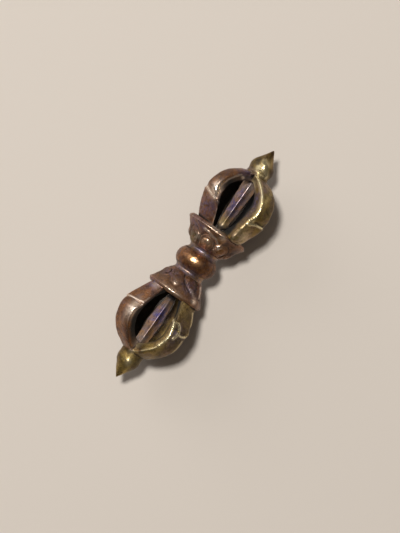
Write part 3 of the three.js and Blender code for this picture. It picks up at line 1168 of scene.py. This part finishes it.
    def dress(self) -> list[Piece]:
        """Gives the collar and its pellets their finish, and the dish in its top a painted shade.

        Returns:
            The collar and its pellets.
        """
        name, sign = self.end.value, self.end.sign
        work = HandWork(4.0 + sign, swell=0.14, dents=0.1, dents_span=1.1)
        body = Piece(f"{name}_lotus_collar", self.build_body(), COPPER_BROWN, work)
        points = body.surface.points
        place, radius = np.abs(points[:, 0]), np.hypot(points[:, 1], points[:, 2])
        deep, inside = (place - self.top + 0.7) / 0.2, (self.rim - self.dish_edge - radius) / 0.4
        # The dish in the top of the collar is painted black, a painted shade where the cage covers it.
        body.wear["soot_and_shade"] = ease(deep) * ease(inside)
        pieces = [body]
        for number in range(1, len(self.pellets_left) + 1):
            work = HandWork(number + 9.0 * sign, swell=0.12, swell_span=1.4, dents=0.06, dents_span=0.8)
            pieces.append(Piece(f"{name}_pellet_{number}", self.build_pellet(number), COPPER_BROWN, work))
        return pieces


@dataclass(frozen=True)
class ProngFace:
    """The outer face of one prong: radii from the axis, widths, leans and its crown, in millimetres."""

    foot: float
    crest: float
    belly: float
    belly_inner: float
    foot_width: float
    crest_width: float
    belly_width: float
    tip_width: float
    tip_lean: float = 0.0
    foot_lean: float = 0.0
    thumb: float = 0.0
    belly_lean: float = 0.0
    crest_slope: float = 0.0
    crown: float = 0.42


BACK_FACE = ProngFace(5.8, 8.5, 9.0, 5.4, 4.9, 5.6, 4.5, 2.8)


@dataclass(frozen=True)
class Prong:
    """One outer prong, built with X along the axis, Y outwards and Z across, then turned to its corner.

    Sizes are in millimetres and degrees. A section is a row of outer x and radius, inner x and radius,
    outer width, inner width and shift to the side.
    """

    end: End
    corner: Corner
    face: ProngFace
    stand: float
    length: float
    fullness: float
    tip_thickness: float
    azimuth: float = 45.0
    inner_width: float = 2.8
    tip_inner_width: float = 3.9
    segments: int = 136
    fineness: float = 1.0
    foot_steps: int = 64
    crest_steps: int = 10
    rise_steps: int = 18
    bow_steps: int = 92
    tip_steps: int = 12
    foot_sunk: float = 0.25
    foot_inner: float = 3.2
    foot_inner_width: float = 2.5
    thumb_sunk: float = 0.6
    thumb_rise: float = 0.5
    thumb_drop: float = 0.7
    thumb_taper: float = 1.8
    crest_at: float = 5.3
    crest_step: float = 0.25
    crest_step_length: float = 0.35
    crest_thickness: float = 2.6
    crest_slope_length: float = 1.6
    belly_at: float = 7.4
    tip_outer: float = 3.1
    tip_inner: float = 2.3
    squareness: float = 0.27
    tip_end: float = 1.4
    tip_end_width: float = 1.6
    crown_level: float = 0.55
    # Painted shade inside the cage: where it starts and ends across each front prong, how it deepens at the
    # foot, how it lifts towards the lit tip, and what the lit lower back prong keeps.
    shade_left: Point = (0.15, 0.55)
    shade_right: Point = (0.55, 0.95)
    shaded_foot: float = 4.5
    unshaded_tip: float = 5.0
    unshaded_tip_left: float = 0.15
    unshaded_tip_right: float = 0.75
    lit_shade: float = 0.35

    @property
    def plus_y(self) -> bool:
        """Whether the prong stands on the side that Y points to before its end is turned."""
        return self.corner.is_left == (self.end is End.UPPER)

    @property
    def towards_front(self) -> float:
        """The sideways direction, in its own frame, towards the other front prong."""
        if not self.corner.is_front:
            return 0.0
        return 1.0 if self.plus_y else -1.0

    @property
    def crest_inner(self) -> float:
        """The inner radius at the crest."""
        return min(self.face.belly_inner, self.face.crest - self.crest_thickness)

    def foot(self) -> list[Row]:
        """Lists the sections from the collar to the crest.

        Returns:
            The sections.
        """
        f, rows = self.face, []
        start = -self.thumb_sunk if f.thumb else -self.foot_sunk
        for x in np.linspace(start, self.crest_at, int(self.foot_steps * self.fineness)):
            t = max(0.0, x / self.crest_at)
            rise = math.sin(t * math.pi / 2)
            outer, width = blend(f.foot, f.crest, t), blend(f.foot_width, f.crest_width, t)
            if f.thumb:
                left = max(0.0, 1 - (x - start) / f.thumb)
                round_off = 1 - math.sqrt(1 - left * left)
                outer += self.thumb_rise * (1 - t) - self.thumb_drop * round_off
                width -= self.thumb_taper * round_off
            inner = blend(self.foot_inner, self.crest_inner, rise)
            narrow = blend(self.foot_inner_width, self.inner_width, t)
            shift = self.towards_front * blend(f.foot_lean, f.belly_lean, t)
            rows.append((x, outer, x, inner, width, narrow, shift))
        return rows

    def crest(self) -> list[Row]:
        """Lists the sections of the small step behind the crest and of the rise to the belly.

        Returns:
            The sections.
        """
        f, rows, lean = self.face, [], self.towards_front * self.face.belly_lean
        dropped = blend(f.crest, f.belly, 0.3) - self.crest_step
        narrowed = blend(f.crest_width, f.belly_width, 0.35)
        inner = blend(self.crest_inner, f.belly_inner, 0.3)
        for t in np.linspace(0.12, 1, int(self.crest_steps * self.fineness) + 2):
            x, e = self.crest_at + self.crest_step_length * t, float(ease(t))
            outer, width = blend(f.crest, dropped, e), blend(f.crest_width, narrowed, e)
            rows.append((x, outer, x, blend(self.crest_inner, inner, t), width, self.inner_width, lean))
        start = self.crest_at + self.crest_step_length
        for t in np.linspace(0.08, 0.95, int(self.rise_steps * self.fineness)):
            x, e = blend(start, self.belly_at, t), math.sin(t * math.pi / 2)
            outer, width = blend(dropped, f.belly, e), blend(narrowed, f.belly_width, e)
            rows.append((x, outer, x, blend(inner, f.belly_inner, e), width, self.inner_width, lean))
        return rows

    def bow(self) -> list[Row]:
        """Lists the sections of the belly, of its bow in to the tip and of the tip's end.

        Returns:
            The sections.
        """
        f, rows, back = self.face, [], self.length - self.tip_thickness
        for u in np.linspace(0, 1, int(self.bow_steps * self.fineness)):
            a = u * math.pi / 2
            fall, t = max(0.0, math.cos(a)) ** (2 / self.fullness), math.sin(a)
            outer, inner = blend(self.tip_outer, f.belly, fall), blend(self.tip_inner, f.belly_inner, fall)
            wide = blend(f.tip_width, f.belly_width, fall)
            narrow = blend(self.tip_inner_width, self.inner_width, fall)
            shift = self.towards_front * blend(f.tip_lean, f.belly_lean, fall)
            x, inner_x = blend(self.belly_at, self.length, t), blend(self.belly_at, back, t)
            rows.append((x, outer, inner_x, inner, wide, narrow, shift))
        for t in np.linspace(0.15, 1, int(self.tip_steps * self.fineness)):
            outer = blend(self.tip_outer, self.tip_end, t)
            inner = blend(self.tip_inner, self.tip_end - 0.1, t)
            wide = blend(f.tip_width, self.tip_end_width, t)
            narrow = blend(self.tip_inner_width, self.tip_end_width, t)
            rows.append((self.length, outer, back, inner, wide, narrow, self.towards_front * f.tip_lean))
        return rows

    def sections(self) -> np.ndarray:
        """Lists the prong's sections from foot to tip, one a row."""
        return np.array(self.foot() + self.crest() + self.bow())

    def outline(self) -> np.ndarray:
        """Draws a square with worn corners, its points spaced evenly round it.

        Returns:
            Rows of outward and sideways shares, -1 to 1.
        """
        turns = np.linspace(0, FULL_TURN, 4001)
        out = np.sign(np.cos(turns)) * np.abs(np.cos(turns)) ** self.squareness
        across = np.sign(np.sin(turns)) * np.abs(np.sin(turns)) ** self.squareness
        run = np.concatenate([[0], np.cumsum(np.hypot(np.diff(out), np.diff(across) * 1.3))])
        even = np.linspace(0, run[-1], self.segments, endpoint=False)
        return np.column_stack([np.interp(even, run, out), np.interp(even, run, across)])

    def build(self) -> Surface:
        """Builds the prong in its place.

        Returns:
            Its surface.
        """
        outline = self.outline()
        share = (1 - outline[:, 0]) / 2
        ox, oy, ix, iy, ow, iw, shift = self.sections().T[:, :, None]
        near = bell(ox - self.crest_at, self.crest_slope_length)
        x = ox + (ix - ox) * share - self.face.crest_slope * self.towards_front * outline[:, 1] * near
        crown = self.face.crown * np.clip(1 - 2 * share, 0, 1) * (self.crown_level - outline[:, 1] ** 2)
        y = oy + (iy - oy) * share + crown
        z = shift + (ow + (iw - ow) * share) / 2 * outline[:, 1]
        a = math.radians(self.azimuth if self.plus_y else 180 - self.azimuth)
        up, aside = y * math.sin(a) + z * math.cos(a), y * math.cos(a) - z * math.sin(a)
        return Surface.skinned(self.end.faced(np.stack([x + self.stand, aside, up], axis=2)))

    def soot_and_shade(self) -> np.ndarray:
        """How black the sides that face into the cage are painted, as painted shade for the inside of the
        cage.

        A front prong is painted black from a share of its thickness inwards, more so at its foot, and
        less so towards its lit tip. A back prong is painted black on its inner face, and the lower right one
        less so, because light reaches it through the window.

        Returns:
            0 for clean and 1 for black, one value a vertex.
        """
        outline, rows = self.outline(), self.sections()
        share, across = (1 - outline[:, 0]) / 2, outline[:, 1]
        if self.corner.is_front:
            first, last = self.shade_left if self.corner.is_left else self.shade_right
            low = 1 - ease(rows[:, :1] / self.shaded_foot)
            inwards = ease((across * self.towards_front + 0.4) / 0.5)
            black = ease((share - blend(first, 0.15, low)) / blend(last - first, 0.25, low)) * inwards
            # clean: how far the painted shade lifts towards the lit tip.
            clean = self.unshaded_tip_left if self.corner.is_left else self.unshaded_tip_right
            black = black * (1 - clean * ease((rows[:, 2:3] - self.length + self.unshaded_tip) / 2.4))
        else:
            lit = self.corner is Corner.BACK_RIGHT and self.end is End.LOWER
            ring = (self.lit_shade if lit else 1.0) * ease((share - 0.5) / 0.3)
            black = np.repeat(ring[None, :], len(rows), axis=0)
        return np.concatenate([black.ravel(), [0.0, 0.0]])

    def dress(self) -> Piece:
        """Gives the prong its finish and its painted shade.

        Returns:
            The prong.
        """
        seed = 20.0 + list(Corner).index(self.corner) + 6.0 * self.end.sign
        work = HandWork(seed, swell=0.2, swell_span=3.4, dents=0.11, dents_span=1.3)
        finish = COPPER_BROWN if self.corner.is_left else OLIVE_BRASS
        made = Piece(f"{self.end.value}_{self.corner.value}_prong", self.build(), finish, work)
        made.wear["soot_and_shade"] = self.soot_and_shade()
        return made


@dataclass(frozen=True)
class Cage:
    """The cage of one end: four outer prongs round a square bar, closed by a bud; in millimetres.

    The bar is given as distances above the collar and how far its corners stand from the axis there.
    """

    end: End
    stand: float
    length: float
    fullness: float
    tip_thickness: float
    left_face: ProngFace
    right_face: ProngFace
    bar: tuple[Point, ...]
    bar_shade: float
    bud_radius: float
    bud_waist: float
    bud_base: float = 2.7
    bud_length: float = 6.7
    bud_shoulder: float = 2.1
    bud_squareness: float = 0.12
    bud_point: float = 0.06
    back_azimuth: float = -56.0
    back_inner_width: float = 3.4
    back_tip_inner_width: float = 1.8
    bar_sunk: float = 0.45
    bar_sharpness: Point = (0.3, 0.6)

    def prong(self, corner: Corner) -> Prong:
        """Sets out one outer prong.

        Args:
            corner: its corner of the cage.

        Returns:
            The prong, not yet built.
        """
        shared = (self.stand, self.length, self.fullness, self.tip_thickness)
        if corner.is_front:
            face = self.left_face if corner.is_left else self.right_face
            return Prong(self.end, corner, face, *shared)
        behind = (self.back_azimuth, self.back_inner_width, self.back_tip_inner_width)
        return Prong(self.end, corner, BACK_FACE, *shared, *behind, segments=56, fineness=0.5)

    def build_bar(self) -> Surface:
        """Builds the square centre prong, an arris towards the front.

        Returns:
            Its surface.
        """
        x = blend(self.stand - self.bar_sunk, self.stand + self.length + 0.1, np.linspace(0, 1, 130))
        knots, radii = zip(*self.bar)
        radius = smoothed(np.interp(x - self.stand, knots, radii), 9)
        sharpness = blend(*self.bar_sharpness, ease((x - self.stand - 1.0) / 3.0))
        return Surface.squared(x, radius, sharpness, self.end, 96)

    def build_bud(self) -> Surface:
        """Builds the bud, a soft four-sided cone on a waisted foot.

        Returns:
            Its surface.
        """
        wide, waist, shoulder, length = self.bud_radius, self.bud_waist, self.bud_shoulder, self.bud_length
        taper = length - shoulder
        slope = [shoulder + taper * 0.18, shoulder + taper * 0.5]
        knots = [0.0, 0.75, 1.47, shoulder, *slope, length - 0.25, length]
        swell = [waist, blend(waist, wide, 0.8), wide, wide * 0.93, wide * 0.58]
        radii = [self.bud_base, *swell, 0.25, self.bud_point]
        x = np.linspace(-0.05, length, 110)
        coarse = np.interp(x, knots, radii)
        radius = np.where(x < length - 0.6, smoothed(coarse, 11), coarse)
        sharpness = self.bud_squareness * ease(x / 2.4)
        return Surface.squared(self.stand + self.length + x, radius, sharpness, self.end, 180)

    def dress(self) -> list[Piece]:
        """Gives the prongs, the bar and the bud their finishes, and the bar's foot a painted shade.

        Returns:
            The pieces of the cage.
        """
        name, sign = self.end.value, self.end.sign
        work = HandWork(40.0 + sign, swell=0.14, swell_span=2.6, dents=0.08, dents_span=1.2)
        bar = Piece(f"{name}_centre_prong", self.build_bar(), VIOLET_BRONZE, work)
        # The bar's foot by the collar is painted black, a painted shade.
        clear = np.abs(bar.surface.points[:, 0]) - self.stand - self.bar_shade
        bar.wear["soot_and_shade"] = 1 - ease(clear / 0.35)
        work = HandWork(50.0 + sign, swell=0.12, swell_span=2.6, dents=0.07, dents_span=1.2)
        bud = Piece(f"{name}_bud", self.build_bud(), OLIVE_BRASS, work)
        return [self.prong(corner).dress() for corner in Corner] + [bar, bud]


COLLARS = {
    End.UPPER: Collar(End.UPPER, 6.9, 37.0, 1.1, 0.5, (0.3, 1.0, 0.8, *[0.75] * 5), 0.8),
    End.LOWER: Collar(End.LOWER, 6.4, 15.0, 0.95, 0.26, (0.75, 0.5, *[0.75] * 6), 0.6),
}
CAGES = {
    End.UPPER: Cage(
        End.UPPER,
        COLLARS[End.UPPER].top,
        length=14.2,
        fullness=1.4,
        tip_thickness=1.6,
        left_face=ProngFace(5.3, 7.9, 9.2, 6.5, 5.7, 6.8, 3.1, 3.0, 0.5, belly_lean=-0.45, crest_slope=0.55),
        right_face=ProngFace(
            7.2, 9.2, 9.7, 5.4, 4.4, 5.9, 4.7, 4.9, 1.0, foot_lean=1.15, thumb=1.0, belly_lean=0.35
        ),
        bar=((-0.5, 0.5), (0.3, 0.6), (0.7, 0.95), (1.2, 1.12), (4.0, 1.28))
        + ((8.3, 1.56), (10.5, 1.7), (12.5, 1.62), (14.2, 1.3)),
        bar_shade=0.3,
        bud_radius=2.8,
        bud_waist=2.5,
    ),
    End.LOWER: Cage(
        End.LOWER,
        COLLARS[End.LOWER].top,
        length=15.0,
        fullness=1.25,
        tip_thickness=2.4,
        left_face=ProngFace(6.2, 8.95, 9.8, 6.4, 4.5, 6.0, 5.0, 3.9, 0.6, crown=0.2),
        right_face=ProngFace(6.2, 8.5, 8.8, 5.6, 5.2, 5.9, 4.9, 4.7, 1.1),
        bar=((-0.5, 0.85), (0.5, 0.85), (0.9, 0.92), (1.5, 1.02))
        + ((4.8, 1.42), (7.0, 1.58), (11.3, 1.42), (15.0, 1.3)),
        bar_shade=0.9,
        bud_radius=2.65,
        bud_waist=2.62,
    ),
}


@dataclass
class Weathering:
    """Works out how rubbed and how occluded every vertex is, for the finishes to read; they paint shade from
    the occlusion.

    The pieces and the table that they lie on are joined into one tree for the rays. Lengths are in
    millimetres and bends per millimetre. An edge is rubbed and a hollow darkened from one bend on, and fully
    so a range further.
    """

    pieces: list[Piece]
    table: float
    count: int = 14
    reach: float = 6.0
    lift: float = 0.04
    far_loss: float = 0.5
    shelter_rounds: int = 3
    bend_rounds: int = 4
    rubbed_from: float = 0.5
    rubbed_range: float = 1.6
    unrubbed_slope: float = 1.9
    hollow_from: float = 0.15
    hollow_range: float = 0.7
    # How dark concave hollows are made.
    hollow_darkening: float = 0.75
    # How much the dark patches blacken, partly as painted shade.
    soil_and_shade_share: float = 0.62
    tree: BVHTree = field(init=False)
    rays: list[tuple[float, float, float]] = field(init=False)

    def __post_init__(self) -> None:
        """Builds the tree, and the rays in an even spiral over half a sphere."""
        points: list[tuple[float, ...]] = []
        faces: list[Face] = []
        for piece in self.pieces:
            base = len(points)
            points.extend(map(tuple, piece.surface.points))
            faces.extend(tuple(base + i for i in face) for face in piece.surface.faces)
        base, far, z = len(points), 100.0, self.table
        points.extend([(-far, -far, z), (far, -far, z), (far, far, z), (-far, far, z)])
        faces.append((base, base + 1, base + 2, base + 3))
        self.tree = BVHTree.FromPolygons(points, faces)
        golden = math.pi * (3 - math.sqrt(5))
        self.rays = []
        for i in range(self.count):
            up = math.sqrt((i + 0.5) / self.count)
            flat = math.sqrt(1 - up * up)
            self.rays.append((flat * math.cos(golden * i), flat * math.sin(golden * i), up))

    def occlusion_shade(self, surface: Surface) -> np.ndarray:
        """The share of the outlook that the amulet itself blocks, from which the finishes paint shade.

        Args:
            surface: the piece's surface.

        Returns:
            0 in the open, 1 in a closed crevice.
        """
        out = np.empty(len(surface.points))
        for i, (p, n) in enumerate(zip(surface.points, surface.normals())):
            up = Vector(n)
            side = up.orthogonal().normalized()
            third = up.cross(side)
            start = Vector(p) + up * self.lift
            hits = 0.0
            for a, b, c in self.rays:
                hit = self.tree.ray_cast(start, side * a + third * b + up * c, self.reach)
                if hit[3] is not None:
                    hits += 1 - self.far_loss * hit[3] / self.reach
            out[i] = hits / self.count
        return self.spread(out, surface.edges(), self.shelter_rounds)

    @staticmethod
    def spread(values: np.ndarray, edges: np.ndarray, rounds: int) -> np.ndarray:
        """Averages each vertex's value with its neighbours'.

        Args:
            values: one value a vertex.
            edges: pairs of vertex numbers.
            rounds: how many times.

        Returns:
            The spread values.
        """
        total = len(values)
        count = np.maximum(summed(total, edges, [np.ones(len(edges))] * 2), 1)
        for _ in range(rounds):
            others = summed(total, edges, [values[edges[:, 1]], values[edges[:, 0]]])
            values = 0.5 * values + 0.5 * others / count
        return values

    def bend(self, surface: Surface) -> np.ndarray:
        """How strongly the surface bends.

        Args:
            surface: the piece's surface.

        Returns:
            Above 0 on edges, below 0 in hollows, per millimetre.
        """
        edges, normals, p = surface.edges(), surface.normals(), surface.points
        along = p[edges[:, 1]] - p[edges[:, 0]]
        length = np.maximum(np.linalg.norm(along, axis=1), 1e-6)
        turn = np.einsum("ij,ij->i", normals[edges[:, 1]] - normals[edges[:, 0]], along) / length**2
        total, weight = (summed(len(p), edges, [share] * 2) for share in (turn * length, length))
        return self.spread(total / np.maximum(weight, 1e-9), edges, self.bend_rounds)

    def apply(self) -> None:
        """Stores what each finish reads on every piece: occlusion for painted shade, wear, the blackening of
        grime and painted shade, and the patches, painted highlights and shade among them.
        """
        for piece in self.pieces:
            occlusion_shade, bend = self.occlusion_shade(piece.surface), self.bend(piece.surface)
            nothing = np.zeros(len(occlusion_shade))
            wear = {name: Patch.total(rows, piece.surface) for name, rows in PATCHES.items()}
            hollow = np.clip((-bend - self.hollow_from) / self.hollow_range, 0, 1)
            # Blackening: the painted shade of the cage insides, dishes and bar feet, and concave hollows
            # darkened.
            soot_and_shade = np.maximum(piece.wear.get("soot_and_shade", nothing), self.hollow_darkening * hollow)
            if piece.node in MARKS:
                bright, dirty = Chisel(MARKS[piece.node]).traces(piece.surface)
                # Raised marks add painted highlights; sunk ones add grime.
                wear["polish_highlight"], soot_and_shade = np.maximum(bright, wear["polish_highlight"]), np.maximum(soot_and_shade, dirty)
            soil_and_shade = wear.pop("soil_and_shade")
            rubbed = np.clip((bend - self.rubbed_from) / self.rubbed_range, 0, 1)
            rubbed = rubbed * np.clip(1.2 - self.unrubbed_slope * occlusion_shade, 0, 1)
            wear["occlusion_shade"] = occlusion_shade
            # The dark patches damp the rubbed edges and deepen the blackening, partly as painted shade.
            wear["rubbed"] = rubbed * (1 - soot_and_shade) * (1 - soil_and_shade)
            wear["soot_and_shade"] = np.maximum(soot_and_shade, self.soil_and_shade_share * soil_and_shade)
            piece.wear = wear
            LOG.info("%s weathered, sheltered %.2f to %.2f", piece.node, *np.percentile(occlusion_shade, [10, 90]))


@dataclass(frozen=True)
class Lamp:
    """A square light that faces the amulet; lengths in metres and power in watts."""

    name: str
    place: tuple[float, float, float]
    size: float
    power: float
    tint: Colour

    def hang(self) -> None:
        """Hangs the light in the scene."""
        lamp = bpy.data.lights.new(self.name, "AREA")
        lamp.size = self.size
        lamp.energy = self.power
        lamp.color = self.tint
        item = added(self.name, lamp)
        item.location = self.place
        item.rotation_mode = "QUATERNION"
        item.rotation_quaternion = (-Vector(self.place)).to_track_quat("-Z", "Y")


@dataclass(frozen=True)
class Studio:
    """The table, the room, the lamps and the camera; lengths in metres."""

    frame_height: float = 0.1161
    camera_height: float = 0.45
    turn_degrees: float = -55.0
    aim: Point = (-0.000214, -0.001213)
    sensor: float = 36.0
    nearest_seen: float = 0.01
    table_half: float = 1.5
    table_colour: Colour = (0.66, 0.60, 0.535)
    table_rough: float = 0.75
    room_colour: Colour = (1.0, 0.86, 0.75)
    room_dim: float = 0.03
    room_bright: float = 0.15
    room_dim_to: float = 0.15
    lamps: tuple[Lamp, ...] = (
        Lamp("key", (0.10, 0.23, 0.95), 0.12, 8.0, (1.0, 0.98, 0.95)),
        Lamp("window", (0.18, 0.92, 0.40), 0.76, 3.0, (1.0, 0.98, 0.98)),
    )

    def floor(self, level: float) -> None:
        """Lays the table.

        Args:
            level: its height.
        """
        half = self.table_half
        corners = [(-half, -half, level), (half, -half, level), (half, half, level), (-half, half, level)]
        mesh = bpy.data.meshes.new("table")
        mesh.from_pydata(corners, [], [(0, 1, 2, 3)])
        table = added("table", mesh)
        paint = bpy.data.materials.new("table_paint")
        paint.use_nodes = True
        shader = paint.node_tree.nodes["Principled BSDF"]
        shader.inputs["Base Color"].default_value = (*self.table_colour, 1)
        shader.inputs["Roughness"].default_value = self.table_rough
        mesh.materials.append(paint)
        table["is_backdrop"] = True

    def room(self) -> None:
        """Lights a dim room that grows a little brighter from a low height to overhead."""
        world = bpy.data.worlds.new("room")
        world.use_nodes = True
        tree = world.node_tree
        back = tree.nodes["Background"]
        back.inputs["Color"].default_value = (*self.room_colour, 1)
        where = tree.nodes.new("ShaderNodeTexCoord")
        split = tree.nodes.new("ShaderNodeSeparateXYZ")
        height = tree.nodes.new("ShaderNodeMapRange")
        rows = {"From Min": self.room_dim_to, "To Min": self.room_dim, "To Max": self.room_bright}
        for name, number in rows.items():
            height.inputs[name].default_value = number
        tree.links.new(where.outputs["Generated"], split.inputs["Vector"])
        tree.links.new(split.outputs["Z"], height.inputs["Value"])
        tree.links.new(height.outputs["Result"], back.inputs["Strength"])
        bpy.context.scene.world = world

    def camera(self) -> None:
        """Sets the camera straight above, turned so that the amulet lies at its angle."""
        lens = bpy.data.cameras.new("camera")
        lens.sensor_width = self.sensor
        lens.lens = self.sensor * self.camera_height / self.frame_height
        lens.clip_start = self.nearest_seen
        item = added("camera", lens)
        item.location = (*self.aim, self.camera_height)
        item.rotation_euler = (0, 0, math.radians(self.turn_degrees))
        bpy.context.scene.camera = item

    def build(self, level: float) -> None:
        """Builds the studio round the amulet.

        Args:
            level: the height of the table.
        """
        self.floor(level)
        for lamp in self.lamps:
            lamp.hang()
        self.room()
        self.camera()
        bpy.context.scene.view_settings.view_transform = "Standard"
        LOG.info("studio built, table at %.4f m", level)


def write_sizes(before: tuple[Vector, Vector], after: tuple[Vector, Vector]) -> None:
    """Writes the object's corners before and after the looks were built.

    Args:
        before: lowest and highest corner of the CAD.
        after: the same for the visible pieces.
    """
    LOG.info("CAD box %s, visible box %s", before, after)


def main() -> None:
    """Builds the amulet from waist to tips, weathers it, then sets the studio."""
    logging.basicConfig(level=logging.INFO, format="%(name)s: %(message)s")
    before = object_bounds()
    pieces = WAIST.dress()
    for end in End:
        pieces += COLLARS[end].dress() + CAGES[end].dress()
    table = before[0].z / MM
    Weathering(pieces, table).apply()
    for piece in pieces:
        piece.build(table)
    Studio().build(before[0].z)
    write_sizes(before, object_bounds())


if __name__ == "__main__":
    main()
